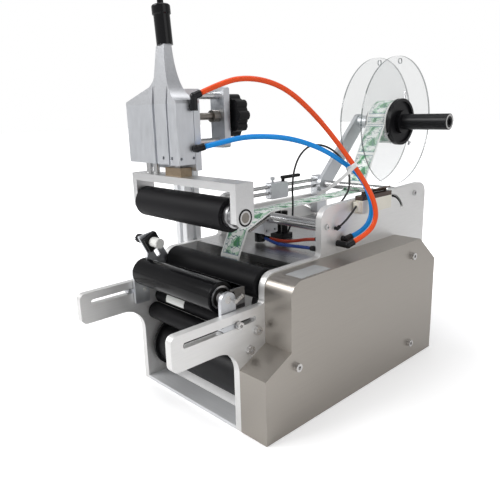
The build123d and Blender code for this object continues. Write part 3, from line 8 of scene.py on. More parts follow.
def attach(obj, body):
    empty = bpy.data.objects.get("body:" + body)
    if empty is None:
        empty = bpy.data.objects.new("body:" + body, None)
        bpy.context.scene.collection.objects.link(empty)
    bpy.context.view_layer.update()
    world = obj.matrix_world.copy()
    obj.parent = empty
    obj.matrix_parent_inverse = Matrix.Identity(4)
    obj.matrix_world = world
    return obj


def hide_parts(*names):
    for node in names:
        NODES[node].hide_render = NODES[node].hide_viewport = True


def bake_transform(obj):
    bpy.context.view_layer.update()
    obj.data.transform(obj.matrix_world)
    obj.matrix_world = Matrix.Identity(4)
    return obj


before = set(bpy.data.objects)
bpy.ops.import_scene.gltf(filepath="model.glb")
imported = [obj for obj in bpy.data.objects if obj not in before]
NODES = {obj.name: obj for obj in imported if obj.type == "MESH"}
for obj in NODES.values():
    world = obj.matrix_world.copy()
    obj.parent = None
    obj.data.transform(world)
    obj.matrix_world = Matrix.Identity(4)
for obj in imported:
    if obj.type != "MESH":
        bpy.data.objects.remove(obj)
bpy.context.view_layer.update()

SCENE = bpy.context.scene

# Sizes and places are in millimetres, in the frame that the part is modelled in.
FRONT_SHIFT = 16.0

# Camera, as solved from the photo: degrees, and the lens for a 36 mm sensor
CAMERA_PLACE = (564.2, -407.2, 400.8)
CAMERA_YAW = 46.515
CAMERA_PITCH = 14.647
CAMERA_ROLL = 1.513
CAMERA_LENS = 38.76

# Press roller and its axle
HEAD_Y = 18.5
PRESS_Z = 277.0
PRESS_R = 21.0
HUB_START = 84.0
HUB_MARGIN = 0.2
HUB_CUT = 20.0
CUT_MARGIN = 3.0
ROLLER_HUB_R = 15.0
AXLE_END = 109.0
AXLE_RING_R = 10.6
AXLE_RING_T = 0.4
AXLE_FACE_R = 8.4
AXLE_CENTRE_R = 6.2
AXLE_POINT_R = 0.05

# Shoulders of the head's shroud: foot, bend and top of each one's hollow, how far out its cutter reaches,
# and the cutter's span along the shoulder
SHROUD_FOOT = 414.0
FOOT_RISE = 2.0
NECK_TOP = 483.0
RIGHT_SHOULDER = (8.6, -13.5, -22.85)
RIGHT_REACH = 40.0
RIGHT_SPAN = (-30.0, 70.0)
REAR_SHOULDER = (37.6, 21.5, 22.5)
REAR_REACH = 60.0
REAR_SPAN = (-130.0, 40.0)

# Front roller's bearings: inside of the outer ring and outside of the inner ring
FRONT_Y = -4.0
FRONT_Z = 178.0
BEARING_OUTER_R = 12.6
BEARING_INNER_R = 7.5

# Reel
REEL_Y = 510.0
REEL_Z = 371.0
ROLL_R = 39.0
ROLL_STEPS = 96
HUB_R = 42.0
SCREW_MARGIN = 0.4
SLEEVE_R = 14.0
SLEEVE_CHAMFER = 1.2
SLEEVE_WALL = 4.2
SLEEVE_END = 110.0
RING_T = 0.3

# Label web: its edges across, and its line's corners in Y and Z
WEB_LEFT = -34.0
WEB_RIGHT = 6.0
WEB_T = 0.8
WEB_CORNERS = [(470.2, 367), (405.84, 252.2), (168.93, 249.5), (119, 230), (100, 192), (98, 150)]
WEB_RADII = [7.8, 8.8, 2.5, 12]
LABEL_PITCH = 58.0
LABEL_EDGE = 1.6
LABEL_LIFT = 0.15
LABEL_T = 0.1

# Amplifier, side cover and right plate
AMP_RIM_Z = 269.5
COVER_TOP = 198.5
STICKER_LEFT = 124.0
STICKER_W = 27.0
STICKER_T = 0.2
STICKER_ENDS = (70.0, 128.0)
SLOT_BAR_X = 107.9
SLOT_BAR_R = 2.3
SLOT_BAR_LINE = ((338.2, 262.4), (353.0, 255.4), (364.2, 243.8))
SLOT_BAR_STEPS = 12

# Hoses and cables, from the head to the right plate or along the frame
HOSE_D = 7.0
INNER_HOSE_D = 5.0
CABLE_D = 3.0
ORANGE_ROUTE = [
    (17, 34, 422), (30, 64, 436), (43, 90, 440), (55, 120, 435), (66, 146, 422), (78, 173, 398),
    (90, 197, 370), (102, 216, 342), (116, 226, 318), (130, 235, 293), (141, 240, 268),
    (145, 239, 245), (142, 225, 227), (132, 204, 217),
]
BLUE_ROUTE = [
    (19, 35, 356), (31, 56, 361), (43, 80, 366), (55, 106, 366), (67, 134, 363), (78, 164, 355),
    (88, 195, 342), (96, 221, 326), (106, 243, 309), (120, 246, 292), (131, 245, 270),
    (133, 246, 248), (129, 233, 228), (120, 216, 221),
]
INNER_ORANGE_ROUTE = [(3, 168, 208), (24, 172, 206), (48, 177, 210), (70, 177, 216), (91, 172, 220)]
INNER_BLUE_ROUTE = [(1, 160, 210), (22, 157, 206), (46, 160, 206), (70, 164, 207), (91, 161, 209)]
SENSOR_ROUTE = [
    (-1, 212, 208), (8, 214, 228), (13, 210, 254), (16, 205, 282), (20, 204, 310), (28, 209, 334),
    (39, 221, 348), (53, 238, 346), (66, 254, 332), (78, 261, 311), (88, 254, 291), (94, 238, 275),
    (95, 219, 265),
]
AMP_ROUTE = [(117, 229, 262), (120, 219, 258), (121, 208, 252), (120, 199, 245), (116, 193, 239)]

# Cable tie: the point of the orange route that it sits at, the two hoses' centres there, and its tail
TIE_AT = 8
TIE_ORANGE = (114.2, 225, 321)
TIE_BLUE = (101.5, 233.5, 316.5)
TIE_LOOP_R = 4.4
TIE_LOOP_STEPS = 32
TIE_W = 4.8
TIE_T = 1.1
TAIL_START = (121, 221, 322)
TAIL_END = (52, 222, 274)
TAIL_FLAT = (0.25, -0.35, 0.9)
TAIL_T = 1.2
TAIL_SAG = 4.0
TAIL_STEPS = 8

# Floor, in metres: its own white is weak round the object, where shadows show, and full from GLOW_FULL on
FLOOR_SIZE = 12.0
FLOOR_DROP = 0.0005
GLOW_NEAR = 0.27
GLOW_START = 0.45
GLOW_FULL = 0.95


def mm(x, y, z):
    """A point of the model in millimetres, as written in the part's source, in metres in the row frame."""
    return Vector((x / 1000, (y - FRONT_SHIFT) / 1000, z / 1000))


def bezier(start, bend, end, t):
    """Place at t, from 0 to 1, on a quadratic curve of numbers or vectors."""
    return start * (1 - t) ** 2 + bend * 2 * t * (1 - t) + end * t ** 2


def make_camera():
    yaw, pitch, roll = radians(CAMERA_YAW), radians(CAMERA_PITCH), radians(CAMERA_ROLL)
    back = Vector((sin(yaw) * cos(pitch), -cos(yaw) * cos(pitch), sin(pitch)))
    ahead = -back
    right = ahead.cross(Vector((0, 0, 1))).normalized()
    down = ahead.cross(right)
    rolled_right = cos(roll) * right + sin(roll) * down
    rolled_down = -sin(roll) * right + cos(roll) * down
    data = bpy.data.cameras.new("camera")
    data.sensor_fit = "HORIZONTAL"
    data.sensor_width = 36.0
    data.lens = CAMERA_LENS
    data.clip_start = 0.01
    camera = bpy.data.objects.new("camera", data)
    SCENE.collection.objects.link(camera)
    turn = Matrix((rolled_right, -rolled_down, back)).transposed().to_4x4()
    camera.matrix_world = Matrix.Translation(mm(*CAMERA_PLACE)) @ turn
    SCENE.camera = camera


# Shader helpers

def new_material(name):
    material = bpy.data.materials.new(name)
    material.use_nodes = True
    tree = material.node_tree
    return material, tree, tree.nodes["Principled BSDF"]


def node(tree, kind, **values):
    """A new node, with input sockets or settings given by name."""
    made = tree.nodes.new(kind)
    for key, value in values.items():
        if key in made.inputs:
            made.inputs[key].default_value = value
        else:
            setattr(made, key, value)
    return made


def coords(tree, scale):
    """Object coordinates, stretched by a scale for each axis."""
    source = node(tree, "ShaderNodeTexCoord")
    mapping = node(tree, "ShaderNodeMapping", Scale=scale)
    tree.links.new(source.outputs["Object"], mapping.inputs["Vector"])
    return mapping.outputs["Vector"]


def split_coords(tree, kind="Object"):
    """Texture coordinates of one kind as three sockets."""
    source = node(tree, "ShaderNodeTexCoord")
    split = node(tree, "ShaderNodeSeparateXYZ")
    tree.links.new(source.outputs[kind], split.inputs["Vector"])
    return split.outputs


def ramp(tree, source, low, high, low_at=0.3, high_at=0.7):
    """A colour that goes from low to high as a value rises."""
    made = node(tree, "ShaderNodeValToRGB")
    for element, colour, place in zip(made.color_ramp.elements, (low, high), (low_at, high_at)):
        element.position = place
        element.color = (*colour, 1)
    tree.links.new(source, made.inputs["Fac"])
    return made.outputs["Color"]


def noise(tree, vector, scale, detail=4.0):
    made = node(tree, "ShaderNodeTexNoise", Scale=scale, Detail=detail, Roughness=0.55)
    tree.links.new(vector, made.inputs["Vector"])
    return made.outputs["Fac"]


def remap(tree, source, low, high, start=0.25, stop=0.75):
    """A value between start and stop, spread from low to high."""
    made = node(tree, "ShaderNodeMapRange")
    for socket, value in zip(("From Min", "From Max", "To Min", "To Max"), (start, stop, low, high)):
        made.inputs[socket].default_value = value
    tree.links.new(source, made.inputs["Value"])
    return made.outputs["Result"]


def bump(tree, shader, source, strength, distance):
    made = node(tree, "ShaderNodeBump", Strength=strength, Distance=distance)
    tree.links.new(source, made.inputs["Height"])
    tree.links.new(made.outputs["Normal"], shader.inputs["Normal"])


def calc(tree, operation, *values):
    """A maths node on sockets or numbers."""
    made = node(tree, "ShaderNodeMath", operation=operation)
    for socket, value in zip(made.inputs, values):
        if isinstance(value, (int, float)):
            socket.default_value = value
        else:
            tree.links.new(value, socket)
    return made.outputs[0]


def length_of(tree, a, b):
    """Length of a line that measures a and b along two axes."""
    squares = [calc(tree, "MULTIPLY", side, side) for side in (a, b)]
    return calc(tree, "SQRT", calc(tree, "ADD", *squares))


def mixed(tree, factor, first, second):
    """Two colours, or sockets of colour, mixed by a factor: inputs 6 and 7 and output 2 of a mix node."""
    made = node(tree, "ShaderNodeMix", data_type="RGBA")
    tree.links.new(factor, made.inputs["Factor"])
    for socket, value in ((made.inputs[6], first), (made.inputs[7], second)):
        if isinstance(value, tuple):
            socket.default_value = (*value, 1)
        else:
            tree.links.new(value, socket)
    return made.outputs[2]


def shade(colour, factor):
    return tuple(min(1.0, c * factor) for c in colour)


def uneven(tree, shader, source, colour, vary, rough, rough_vary):
    """Colour and roughness that waver with a noise, by a share of their values."""
    tint = ramp(tree, source, shade(colour, 1 - vary), shade(colour, 1 + vary))
    tree.links.new(tint, shader.inputs["Base Color"])
    spread = remap(tree, source, rough * (1 - rough_vary), rough * (1 + rough_vary))
    tree.links.new(spread, shader.inputs["Roughness"])


# Looks

def metal(name, colour, rough, stretch=(1, 1, 1), scale=1.0, vary=0.03, grain=0.0, bare=1.0):
    """Metal whose brushing or casting grain follows a stretched noise."""
    material, tree, shader = new_material(name)
    shader.inputs["Metallic"].default_value = bare
    fine = noise(tree, coords(tree, stretch), scale)
    uneven(tree, shader, fine, colour, vary, rough, rough_vary=0.18)
    if grain:
        bump(tree, shader, fine, strength=grain, distance=0.0003)
    return material


def plastic(name, colour, rough, scale=900.0, vary=0.2, grain=0.0, coat=0.0, shine=0.5):
    """Moulded plastic or rubber with a faint unevenness of colour and, where asked for, a fine grain."""
    material, tree, shader = new_material(name)
    vector = coords(tree, (1, 1, 1))
    broad = noise(tree, vector, scale=24.0, detail=3.0)
    uneven(tree, shader, broad, colour, vary, rough, rough_vary=0.15)
    shader.inputs["Specular IOR Level"].default_value = shine
    shader.inputs["Coat Weight"].default_value = coat
    shader.inputs["Coat Roughness"].default_value = 0.12
    if grain:
        fine = noise(tree, vector, scale, detail=2.0)
        bump(tree, shader, fine, strength=grain, distance=0.0002)
    return material


def clear_plastic(name, colour, edge, axis, alpha):
    """Clear sheet that looks through on its faces and dark along its cut edge."""
    material, tree, shader = new_material(name)
    shader.inputs["Roughness"].default_value = 0.04
    shader.inputs["Specular IOR Level"].default_value = 0.5
    facing = calc(tree, "ABSOLUTE", split_coords(tree, "Normal")[axis])
    face = calc(tree, "GREATER_THAN", facing, 0.5)
    tint = ramp(tree, face, edge, colour, low_at=0.4, high_at=0.6)
    tree.links.new(tint, shader.inputs["Base Color"])
    opacity = remap(tree, face, low=0.75, high=alpha, start=0.0, stop=1.0)
    tree.links.new(opacity, shader.inputs["Alpha"])
    return material


def label_look():
    """White paper with outlined labels in soft green leaf shapes, laid out along the strip's UV map."""
    paper, outline, vein_tint = (0.84, 0.85, 0.82), (0.26, 0.34, 0.40), (0.10, 0.20, 0.20)
    ground, pale_green, dark_green = (0.80, 0.83, 0.80), (0.46, 0.66, 0.50), (0.07, 0.26, 0.11)
    outline_in, outline_out, squeeze = 0.445, 0.468, 1.03
    pale_from, dark_from, vein_at, vein_half = 0.47, 0.56, 0.52, 0.022
    material, tree, shader = new_material("label_look")
    shader.inputs["Roughness"].default_value = 0.5
    uv = split_coords(tree, "UV")
    along, across = calc(tree, "FRACT", uv["X"]), uv["Y"]
    du = calc(tree, "ABSOLUTE", calc(tree, "SUBTRACT", along, 0.5))
    dv = calc(tree, "ABSOLUTE", calc(tree, "SUBTRACT", across, 0.5))
    edge = calc(tree, "MAXIMUM", calc(tree, "MULTIPLY", du, squeeze), dv)
    inside = calc(tree, "LESS_THAN", edge, outline_out)
    line = calc(tree, "MULTIPLY", inside, calc(tree, "GREATER_THAN", edge, outline_in))
    cell = node(tree, "ShaderNodeCombineXYZ")
    tree.links.new(calc(tree, "MULTIPLY", along, 1.5), cell.inputs["X"])
    tree.links.new(across, cell.inputs["Y"])
    leaves = noise(tree, cell.outputs[0], scale=2.3, detail=0.6)
    veins = noise(tree, cell.outputs[0], scale=4.4, detail=0.6)
    pale = mixed(tree, calc(tree, "GREATER_THAN", leaves, pale_from), ground, pale_green)
    green = mixed(tree, calc(tree, "GREATER_THAN", leaves, dark_from), pale, dark_green)
    off_vein = calc(tree, "ABSOLUTE", calc(tree, "SUBTRACT", veins, vein_at))
    art = mixed(tree, calc(tree, "LESS_THAN", off_vein, vein_half), green, vein_tint)
    framed = mixed(tree, line, art, outline)
    tree.links.new(mixed(tree, inside, paper, framed), shader.inputs["Base Color"])
    return material


def part_look(material, where, colour, rough, bare):
    """Another finish in the part of a piece where a test of its object coordinates is 1."""
    tree = material.node_tree
    shader = tree.nodes["Principled BSDF"]
    there = where(tree, split_coords(tree))
    for socket, value in (("Base Color", colour), ("Roughness", (rough,) * 3)):
        before = shader.inputs[socket].links[0].from_socket
        tree.links.new(mixed(tree, there, before, value), shader.inputs[socket])
    if bare:
        tree.links.new(there, shader.inputs["Metallic"])


def part_steel(material, where):
    part_look(material, where, colour=(0.62, 0.62, 0.63), rough=0.28, bare=True)


def radius_from(tree, xyz, y, z):
    """Distance in metres from an axis along X, given in millimetres."""
    centre = mm(0, y, z)
    dy = calc(tree, "SUBTRACT", xyz["Y"], centre.y)
    dz = calc(tree, "SUBTRACT", xyz["Z"], centre.z)
    return length_of(tree, dy, dz)


def hub_screws(tree, xyz):
    """1 on the thumb screws that stand out of the reel hub's rim."""
    radius = radius_from(tree, xyz, REEL_Y, REEL_Z)
    return calc(tree, "GREATER_THAN", radius, (HUB_R + SCREW_MARGIN) / 1000)


def amplifier_rim(tree, xyz):
    """1 on the smoky rim of the amplifier's box."""
    return calc(tree, "GREATER_THAN", xyz["Z"], AMP_RIM_Z / 1000)


def roller_hub(tree, xyz):
    """1 on the press roller's hub, past the end of its rubber."""
    return calc(tree, "GREATER_THAN", xyz["X"], (HUB_START + HUB_MARGIN) / 1000)


def bearing_rings(tree, xyz):
    """1 on a bearing's outer and inner rings, 0 on the dark shield between them."""
    radius = radius_from(tree, xyz, FRONT_Y, FRONT_Z)
    outer = calc(tree, "GREATER_THAN", radius, BEARING_OUTER_R / 1000)
    inner = calc(tree, "LESS_THAN", radius, BEARING_INNER_R / 1000)
    return calc(tree, "MAXIMUM", outer, inner)


# Stretches of the noise for brushing along one axis
ALONG_X = (9, 900, 900)
ALONG_Y = (900, 9, 900)
MILLED_X = (30, 500, 500)

MATERIALS = {
    "plate": metal("plate_aluminium_look", (0.78, 0.775, 0.765), 0.42,
                   stretch=(500, 30, 500), grain=0.01, bare=0.7),
    "column": metal("column_look", (0.80, 0.81, 0.82), 0.46,
                    stretch=(300, 300, 30), grain=0.01, bare=0.6),
    "machined": metal("machined_aluminium_look", (0.63, 0.645, 0.67), 0.40,
                      stretch=(300, 300, 60), vary=0.04, grain=0.01),
    "yoke": metal("yoke_look", (0.70, 0.70, 0.70), 0.34, stretch=MILLED_X, grain=0.01),
    "foot": metal("foot_bar_look", (0.74, 0.75, 0.76), 0.45, stretch=MILLED_X, grain=0.01, bare=0.4),
    "cast": metal("cast_aluminium_look", (0.56, 0.57, 0.59), 0.36, scale=420.0, vary=0.06, grain=0.10),
    "stainless": metal("stainless_look", (0.40, 0.372, 0.338), 0.34,
                       stretch=ALONG_Y, vary=0.035, grain=0.03),
    "deck": metal("deck_look", (0.60, 0.60, 0.60), 0.30, stretch=ALONG_X, vary=0.06, grain=0.03),
    "bar": metal("cross_bar_look", (0.60, 0.60, 0.60), 0.22, stretch=ALONG_X, vary=0.02),
    "steel": metal("steel_look", (0.62, 0.61, 0.60), 0.28, scale=300.0),
    "screw": metal("adjusting_screw_look", (0.26, 0.24, 0.215), 0.34, scale=300.0, vary=0.08, grain=0.03),
    "chrome": metal("chrome_look", (0.70, 0.70, 0.70), 0.16, scale=200.0, vary=0.02),
    "blade": metal("blade_look", (0.20, 0.20, 0.205), 0.10, scale=200.0, vary=0.02),
    "brass": metal("brass_look", (0.30, 0.235, 0.165), 0.40, scale=300.0, vary=0.10, grain=0.04),
    "rubber": plastic("rubber_look", (0.006, 0.006, 0.0068), 0.50, scale=1400.0, grain=0.14, shine=0.11),
    "roller": plastic("front_roller_look", (0.005, 0.005, 0.0056), 0.17,
                      scale=1200.0, vary=0.15, grain=0.02, shine=0.15),
    "press": plastic("press_roller_look", (0.0065, 0.0062, 0.0074), 0.50, shine=0.14),
    "black": plastic("black_plastic_look", (0.007, 0.007, 0.008), 0.42,
                     scale=1500.0, grain=0.10, shine=0.22),
    "gloss_black": plastic("gloss_black_look", (0.006, 0.006, 0.007), 0.22,
                           scale=1500.0, grain=0.03, shine=0.28),
    "hub": plastic("hub_look", (0.007, 0.007, 0.008), 0.36, shine=0.22),
    "grip": plastic("grip_look", (0.004, 0.004, 0.005), 0.14, shine=0.24),
    "bearing": plastic("bearing_look", (0.012, 0.011, 0.010), 0.36, shine=0.3),
    "motor": plastic("motor_look", (0.03, 0.03, 0.034), 0.35, grain=0.10),
    "cable": plastic("cable_look", (0.008, 0.008, 0.008), 0.42, grain=0.03),
    "nylon": plastic("nylon_look", (0.80, 0.80, 0.77), 0.45, vary=0.04, grain=0.08),
    "paper": plastic("paper_look", (0.84, 0.85, 0.82), 0.55, vary=0.02, grain=0.02),
    "tie": plastic("cable_tie_look", (0.90, 0.90, 0.89), 0.40, vary=0.03, grain=0.02),
    "sticker": plastic("sticker_look", (0.36, 0.37, 0.37), 0.40, vary=0.03),
    "cream": plastic("cream_look", (0.74, 0.71, 0.62), 0.42, scale=1200.0, vary=0.05, grain=0.08),
    "smoky": plastic("smoky_look", (0.085, 0.048, 0.032), 0.20, vary=0.15, coat=0.3),
    "orange": plastic("orange_hose_look", (0.80, 0.075, 0.008), 0.32,
                      scale=700.0, vary=0.06, grain=0.02, shine=0.3),
    "blue": plastic("blue_hose_look", (0.002, 0.27, 0.76), 0.32,
                    scale=700.0, vary=0.06, grain=0.02, shine=0.3),
    "red": plastic("red_hose_look", (0.50, 0.05, 0.015), 0.30,
                   scale=700.0, vary=0.08, grain=0.02, coat=0.2),
    "navy": plastic("navy_hose_look", (0.01, 0.045, 0.24), 0.30,
                    scale=700.0, vary=0.08, grain=0.02, coat=0.2),
    "acrylic": clear_plastic("acrylic_look", (0.62, 0.65, 0.65), (0.10, 0.12, 0.12), "X", 0.16),
    "label": label_look(),
}
part_steel(MATERIALS["hub"], hub_screws)
part_steel(MATERIALS["bearing"], bearing_rings)
part_steel(MATERIALS["press"], roller_hub)
part_look(MATERIALS["cream"], amplifier_rim, colour=(0.060, 0.036, 0.026), rough=0.22, bare=False)

CAD_LOOKS = {
    "plate": ["right_side_plate", "left_side_plate"],
    "column": ["column_post"],
    "machined": ["slide_housing", "guide_brackets", "reel_arm", "brake_cylinder", "bracket_right",
                 "bracket_left", "cylinder_block", "carriage_plates"],
    "yoke": ["yoke_frame"],
    "foot": ["foot_bars"],
    "cast": ["head_shroud"],
    "stainless": ["side_cover"],
    "deck": ["deck_panel"],
    "bar": ["cross_bars"],
    "steel": ["cover_screws", "shaft_bearings", "nip_axles", "peel_plate", "drive_shaft",
              "rewind_shaft", "motor_pulley", "bracket_hardware"],
    "screw": ["adjusting_screw"],
    "chrome": ["carriage_rods", "yoke_rods"],
    "blade": ["guard_blade"],
    "brass": ["rod_clamp"],
    "rubber": ["drive_roller", "nip_roller_upper", "nip_roller_lower", "drive_belts"],
    "roller": ["front_roller"],
    "press": ["press_roller"],
    "black": ["rewind_drum", "clamp_lever", "web_sensor", "stop_clamp", "handwheel"],
    "gloss_black": ["head_fittings", "hose_fittings"],
    "hub": ["reel_hub"],
    "grip": ["lift_grip"],
    "bearing": ["front_roller_bearings"],
    "motor": ["gear_motor"],
    "nylon": ["stop_pin"],
    "paper": ["label_roll", "label_web"],
    "cream": ["amplifier_box"],
    "smoky": ["amplifier_lid"],
    "acrylic": ["reel_discs"],
}


def dress_cad():
    for look, names in CAD_LOOKS.items():
        for name in names:
            slots = NODES[name].data.materials
            slots.clear()
            slots.append(MATERIALS[look])


# Mesh helpers

def link_mesh(name, bm, material, smooth=True):
    """A mesh object from a bmesh, with its material."""
    mesh = bpy.data.meshes.new(name)
    bmesh.ops.recalc_face_normals(bm, faces=bm.faces)
    bm.to_mesh(mesh)
    bm.free()
    mesh.materials.append(material)
    piece = bpy.data.objects.new(name, mesh)
    SCENE.collection.objects.link(piece)
    if smooth:
        mesh.polygons.foreach_set("use_smooth", [True] * len(mesh.polygons))
    return piece


def heading(points, i):
    """Direction of a line of points at one of them."""
    return (points[min(i + 1, len(points) - 1)] - points[max(i - 1, 0)]).normalized()


def join_loops(bm, first, second):
    """Faces between two closed loops with the same number of points."""
    faces = []
    for k in range(len(first)):
        n = (k + 1) % len(first)
        faces.append(bm.faces.new((first[k], first[n], second[n], second[k])))
    return faces


def skin(bm, loops):
    """Faces over a row of closed loops, with both ends closed."""
    for low, high in zip(loops, loops[1:]):
        join_loops(bm, low, high)
    bm.faces.new(loops[0])
    bm.faces.new(loops[-1])


def tube_mesh(points, radius, sides=16):
    """Round tube along a line of points."""
    bm = bmesh.new()
    rings = []
    side = Vector((0, 0, 1))
    for i, point in enumerate(points):
        ahead = heading(points, i)
        side = (side - ahead * side.dot(ahead)).normalized()
        across = ahead.cross(side)
        ring = []
        for k in range(sides):
            turn = 2 * pi * k / sides
            ring.append(bm.verts.new(point + (side * cos(turn) + across * sin(turn)) * radius))
        rings.append(ring)
    skin(bm, rings)
    return bm


def ribbon_faces(bm, points, across, width, thick):
    """Flat strap along a line of points, its width along one direction, in millimetres."""
    rows = []
    for i, point in enumerate(points):
        ahead = heading(points, i)
        flat = (across - ahead * across.dot(ahead)).normalized()
        up = ahead.cross(flat)
        row = []
        for a, b in ((-1, -1), (1, -1), (1, 1), (-1, 1)):
            row.append(bm.verts.new(point + flat * a * width / 2000 + up * b * thick / 2000))
        rows.append(row)
    skin(bm, rows)


def ring_mesh(centre, outer, inner, depth, sides=48):
    """Closed ring about X, from a centre towards +X."""
    bm = bmesh.new()
    loops = []
    for radius, ahead in ((inner, 0.0), (inner, depth), (outer, depth), (outer, 0.0)):
        loop = []
        for k in range(sides):
            turn = 2 * pi * k / sides
            y, z = centre[1] + cos(turn) * radius, centre[2] + sin(turn) * radius
            loop.append(bm.verts.new(mm(centre[0] + ahead, y, z)))
        loops.append(loop)
    for low, high in zip(loops, loops[1:] + loops[:1]):
        join_loops(bm, low, high)
    return bm


def prism_mesh(corners, span, place):
    """Closed prism over an outline, between two values along the axis that it lacks."""
    bm = bmesh.new()
    first, second = [[bm.verts.new(place(a, b, end)) for a, b in corners] for end in span]
    bm.faces.new(first)
    bm.faces.new(second)
    join_loops(bm, first, second)
    return bm


# Hoses and cables

def route_curve(name, route, diameter=0.0):
    """NURBS line with the route's points as its control points."""
    data = bpy.data.curves.new(name, "CURVE")
    data.dimensions = "3D"
    spline = data.splines.new("NURBS")
    spline.points.add(len(route) - 1)
    for point, place in zip(spline.points, route):
        point.co = (*mm(*place), 1)
    spline.order_u = 3
    spline.use_endpoint_u = True
    spline.resolution_u = 12
    data.bevel_depth = diameter / 2000
    data.bevel_resolution = 5
    data.use_fill_caps = True
    curve = bpy.data.objects.new(name, data)
    SCENE.collection.objects.link(curve)
    return curve


def line_points(route):
    """Points along a route's NURBS line."""
    curve = route_curve("line", route)
    mesh = bpy.data.meshes.new_from_object(curve)
    points = [v.co.copy() for v in mesh.vertices]
    bpy.data.objects.remove(curve)
    bpy.data.meshes.remove(mesh)
    return points


def blend_with_head(piece):
    """Bakes a piece's placement into its mesh; a route ends on the frame and starts on the head."""
    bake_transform(piece)


def blended_hose(name, route, diameter, look, cad_node):
    """Hose between the frame's bulkhead and the head carriage."""
    points = line_points(route)
    piece = link_mesh(name, tube_mesh(points, diameter / 2000), MATERIALS[look])
    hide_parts(cad_node)
    blend_with_head(piece)


def fixed_hose(name, route, diameter, look, cad_node):
    """Hose or cable whose two ends are both on the frame."""
    points = line_points(route)
    piece = route_curve(name, route, diameter)
    piece.data.materials.append(MATERIALS[look])
    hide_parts(cad_node)
    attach(piece, "frame")


def make_hoses():
    blended_hose("orange_air_hose", ORANGE_ROUTE, HOSE_D, "orange", "orange_hose")
    blended_hose("blue_air_hose", BLUE_ROUTE, HOSE_D, "blue", "blue_hose")
    fixed_hose("inner_red_hose", INNER_ORANGE_ROUTE, INNER_HOSE_D, "red",
               "inner_orange_hose")
    fixed_hose("inner_navy_hose", INNER_BLUE_ROUTE, INNER_HOSE_D, "navy",
               "inner_blue_hose")
    fixed_hose("sensor_lead", SENSOR_ROUTE, CABLE_D, "cable", "sensor_cable")
    fixed_hose("amplifier_lead", AMP_ROUTE, CABLE_D, "cable", "amplifier_cable")


# Labels

def rounded(corners, radii, steps=8):
    """Line through corners in Y and Z with an arc at each inner corner."""
    points = [Vector(corners[0])]
    for before, here, after, radius in zip(corners, corners[1:], corners[2:], radii):
        here = Vector(here)
        a, b = (Vector(before) - here).normalized(), (Vector(after) - here).normalized()
        half = a.angle(b) / 2
        back = radius / tan(half)
        middle = here + (a + b).normalized() * radius / sin(half)
        start, stop = here + a * back - middle, here + b * back - middle
        for k in range(steps + 1):
            points.append(middle + (start.lerp(stop, k / steps)).normalized() * radius)
    return points + [Vector(corners[-1])]


def label_strip(name, line, lift, body):
    """Thin strip over a line in Y and Z. Its top is printed, and has the labels' UV map."""
    bm = bmesh.new()
    uv = bm.loops.layers.uv.new("UVMap")
    low, high = WEB_LEFT + LABEL_EDGE, WEB_RIGHT - LABEL_EDGE
    rows = []
    run = 0.0
    for i, point in enumerate(line):
        ahead = heading(line, i)
        if i:
            run += (point - line[i - 1]).length
        out = Vector((ahead.y, -ahead.x))
        row = []
        for x, height in ((low, lift), (high, lift), (high, lift - LABEL_T), (low, lift - LABEL_T)):
            spot = point + out * height
            row.append(bm.verts.new(mm(x, spot.x, spot.y)))
        rows.append((row, run / LABEL_PITCH))
    for (first, u0), (second, u1) in zip(rows, rows[1:]):
        top = join_loops(bm, first, second)[0]
        top.smooth = True
        for loop, place in zip(top.loops, ((u0, 0), (u0, 1), (u1, 1), (u1, 0))):
            loop[uv].uv = place
    bm.faces.new(rows[0][0])
    bm.faces.new(rows[-1][0])
    piece = link_mesh(name, bm, MATERIALS["label"], smooth=False)
    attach(piece, body)


def make_labels():
    label_strip("web_labels", rounded(WEB_CORNERS, WEB_RADII), WEB_T / 2 + LABEL_LIFT, "frame")
    ring = []
    for k in range(ROLL_STEPS + 1):
        turn = 2 * pi * k / ROLL_STEPS
        ring.append(Vector((REEL_Y - cos(turn) * ROLL_R, REEL_Z - sin(turn) * ROLL_R)))
    label_strip("roll_labels", ring, LABEL_LIFT, "reel")


# Small fittings

def make_ring(name, centre, outer, inner, depth, look, body):
    """Flat ring that faces +X, its back on the given centre."""
    piece = link_mesh(name, ring_mesh(centre, outer, inner, depth), MATERIALS[look], smooth=False)
    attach(piece, body)


def make_rings():
    sleeve, axle = (SLEEVE_END, REEL_Y, REEL_Z), (AXLE_END, HEAD_Y, PRESS_Z)
    rim, bore = SLEEVE_R - SLEEVE_CHAMFER, SLEEVE_R - SLEEVE_WALL
    make_ring("sleeve_rim", sleeve, rim, bore, RING_T, "steel", "reel")
    make_ring("axle_ring", axle, AXLE_RING_R, AXLE_FACE_R, AXLE_RING_T, "black", "press_yoke")
    make_ring("axle_face", axle, AXLE_FACE_R, AXLE_CENTRE_R, RING_T, "steel", "press_yoke")
    make_ring("axle_centre", axle, AXLE_CENTRE_R, AXLE_POINT_R, RING_T, "screw", "press_yoke")


def make_cable_tie():
    """White tie round the two hoses, with its long tail."""
    bm = bmesh.new()
    first, second = mm(*TIE_ORANGE), mm(*TIE_BLUE)
    axis = heading([mm(*place) for place in ORANGE_ROUTE], TIE_AT)
    reach = (second - first).normalized()
    side = axis.cross(reach).normalized()
    loop = []
    for k in range(TIE_LOOP_STEPS + 1):
        turn = 2 * pi * k / TIE_LOOP_STEPS
        centre = second if cos(turn) > 0 else first
        loop.append(centre + (reach * cos(turn) + side * sin(turn)) * TIE_LOOP_R / 1000)
    ribbon_faces(bm, loop, axis, TIE_W, TIE_T)
    start, end = mm(*TAIL_START), mm(*TAIL_END)
    tail = []
    for k in range(TAIL_STEPS + 1):
        t = k / TAIL_STEPS
        tail.append(start.lerp(end, t) - Vector((0, 0, TAIL_SAG / 1000 * sin(pi * t))))
    ribbon_faces(bm, tail, Vector(TAIL_FLAT), TIE_W, TAIL_T)
    piece = link_mesh("cable_tie", bm, MATERIALS["tie"], smooth=False)
    blend_with_head(piece)


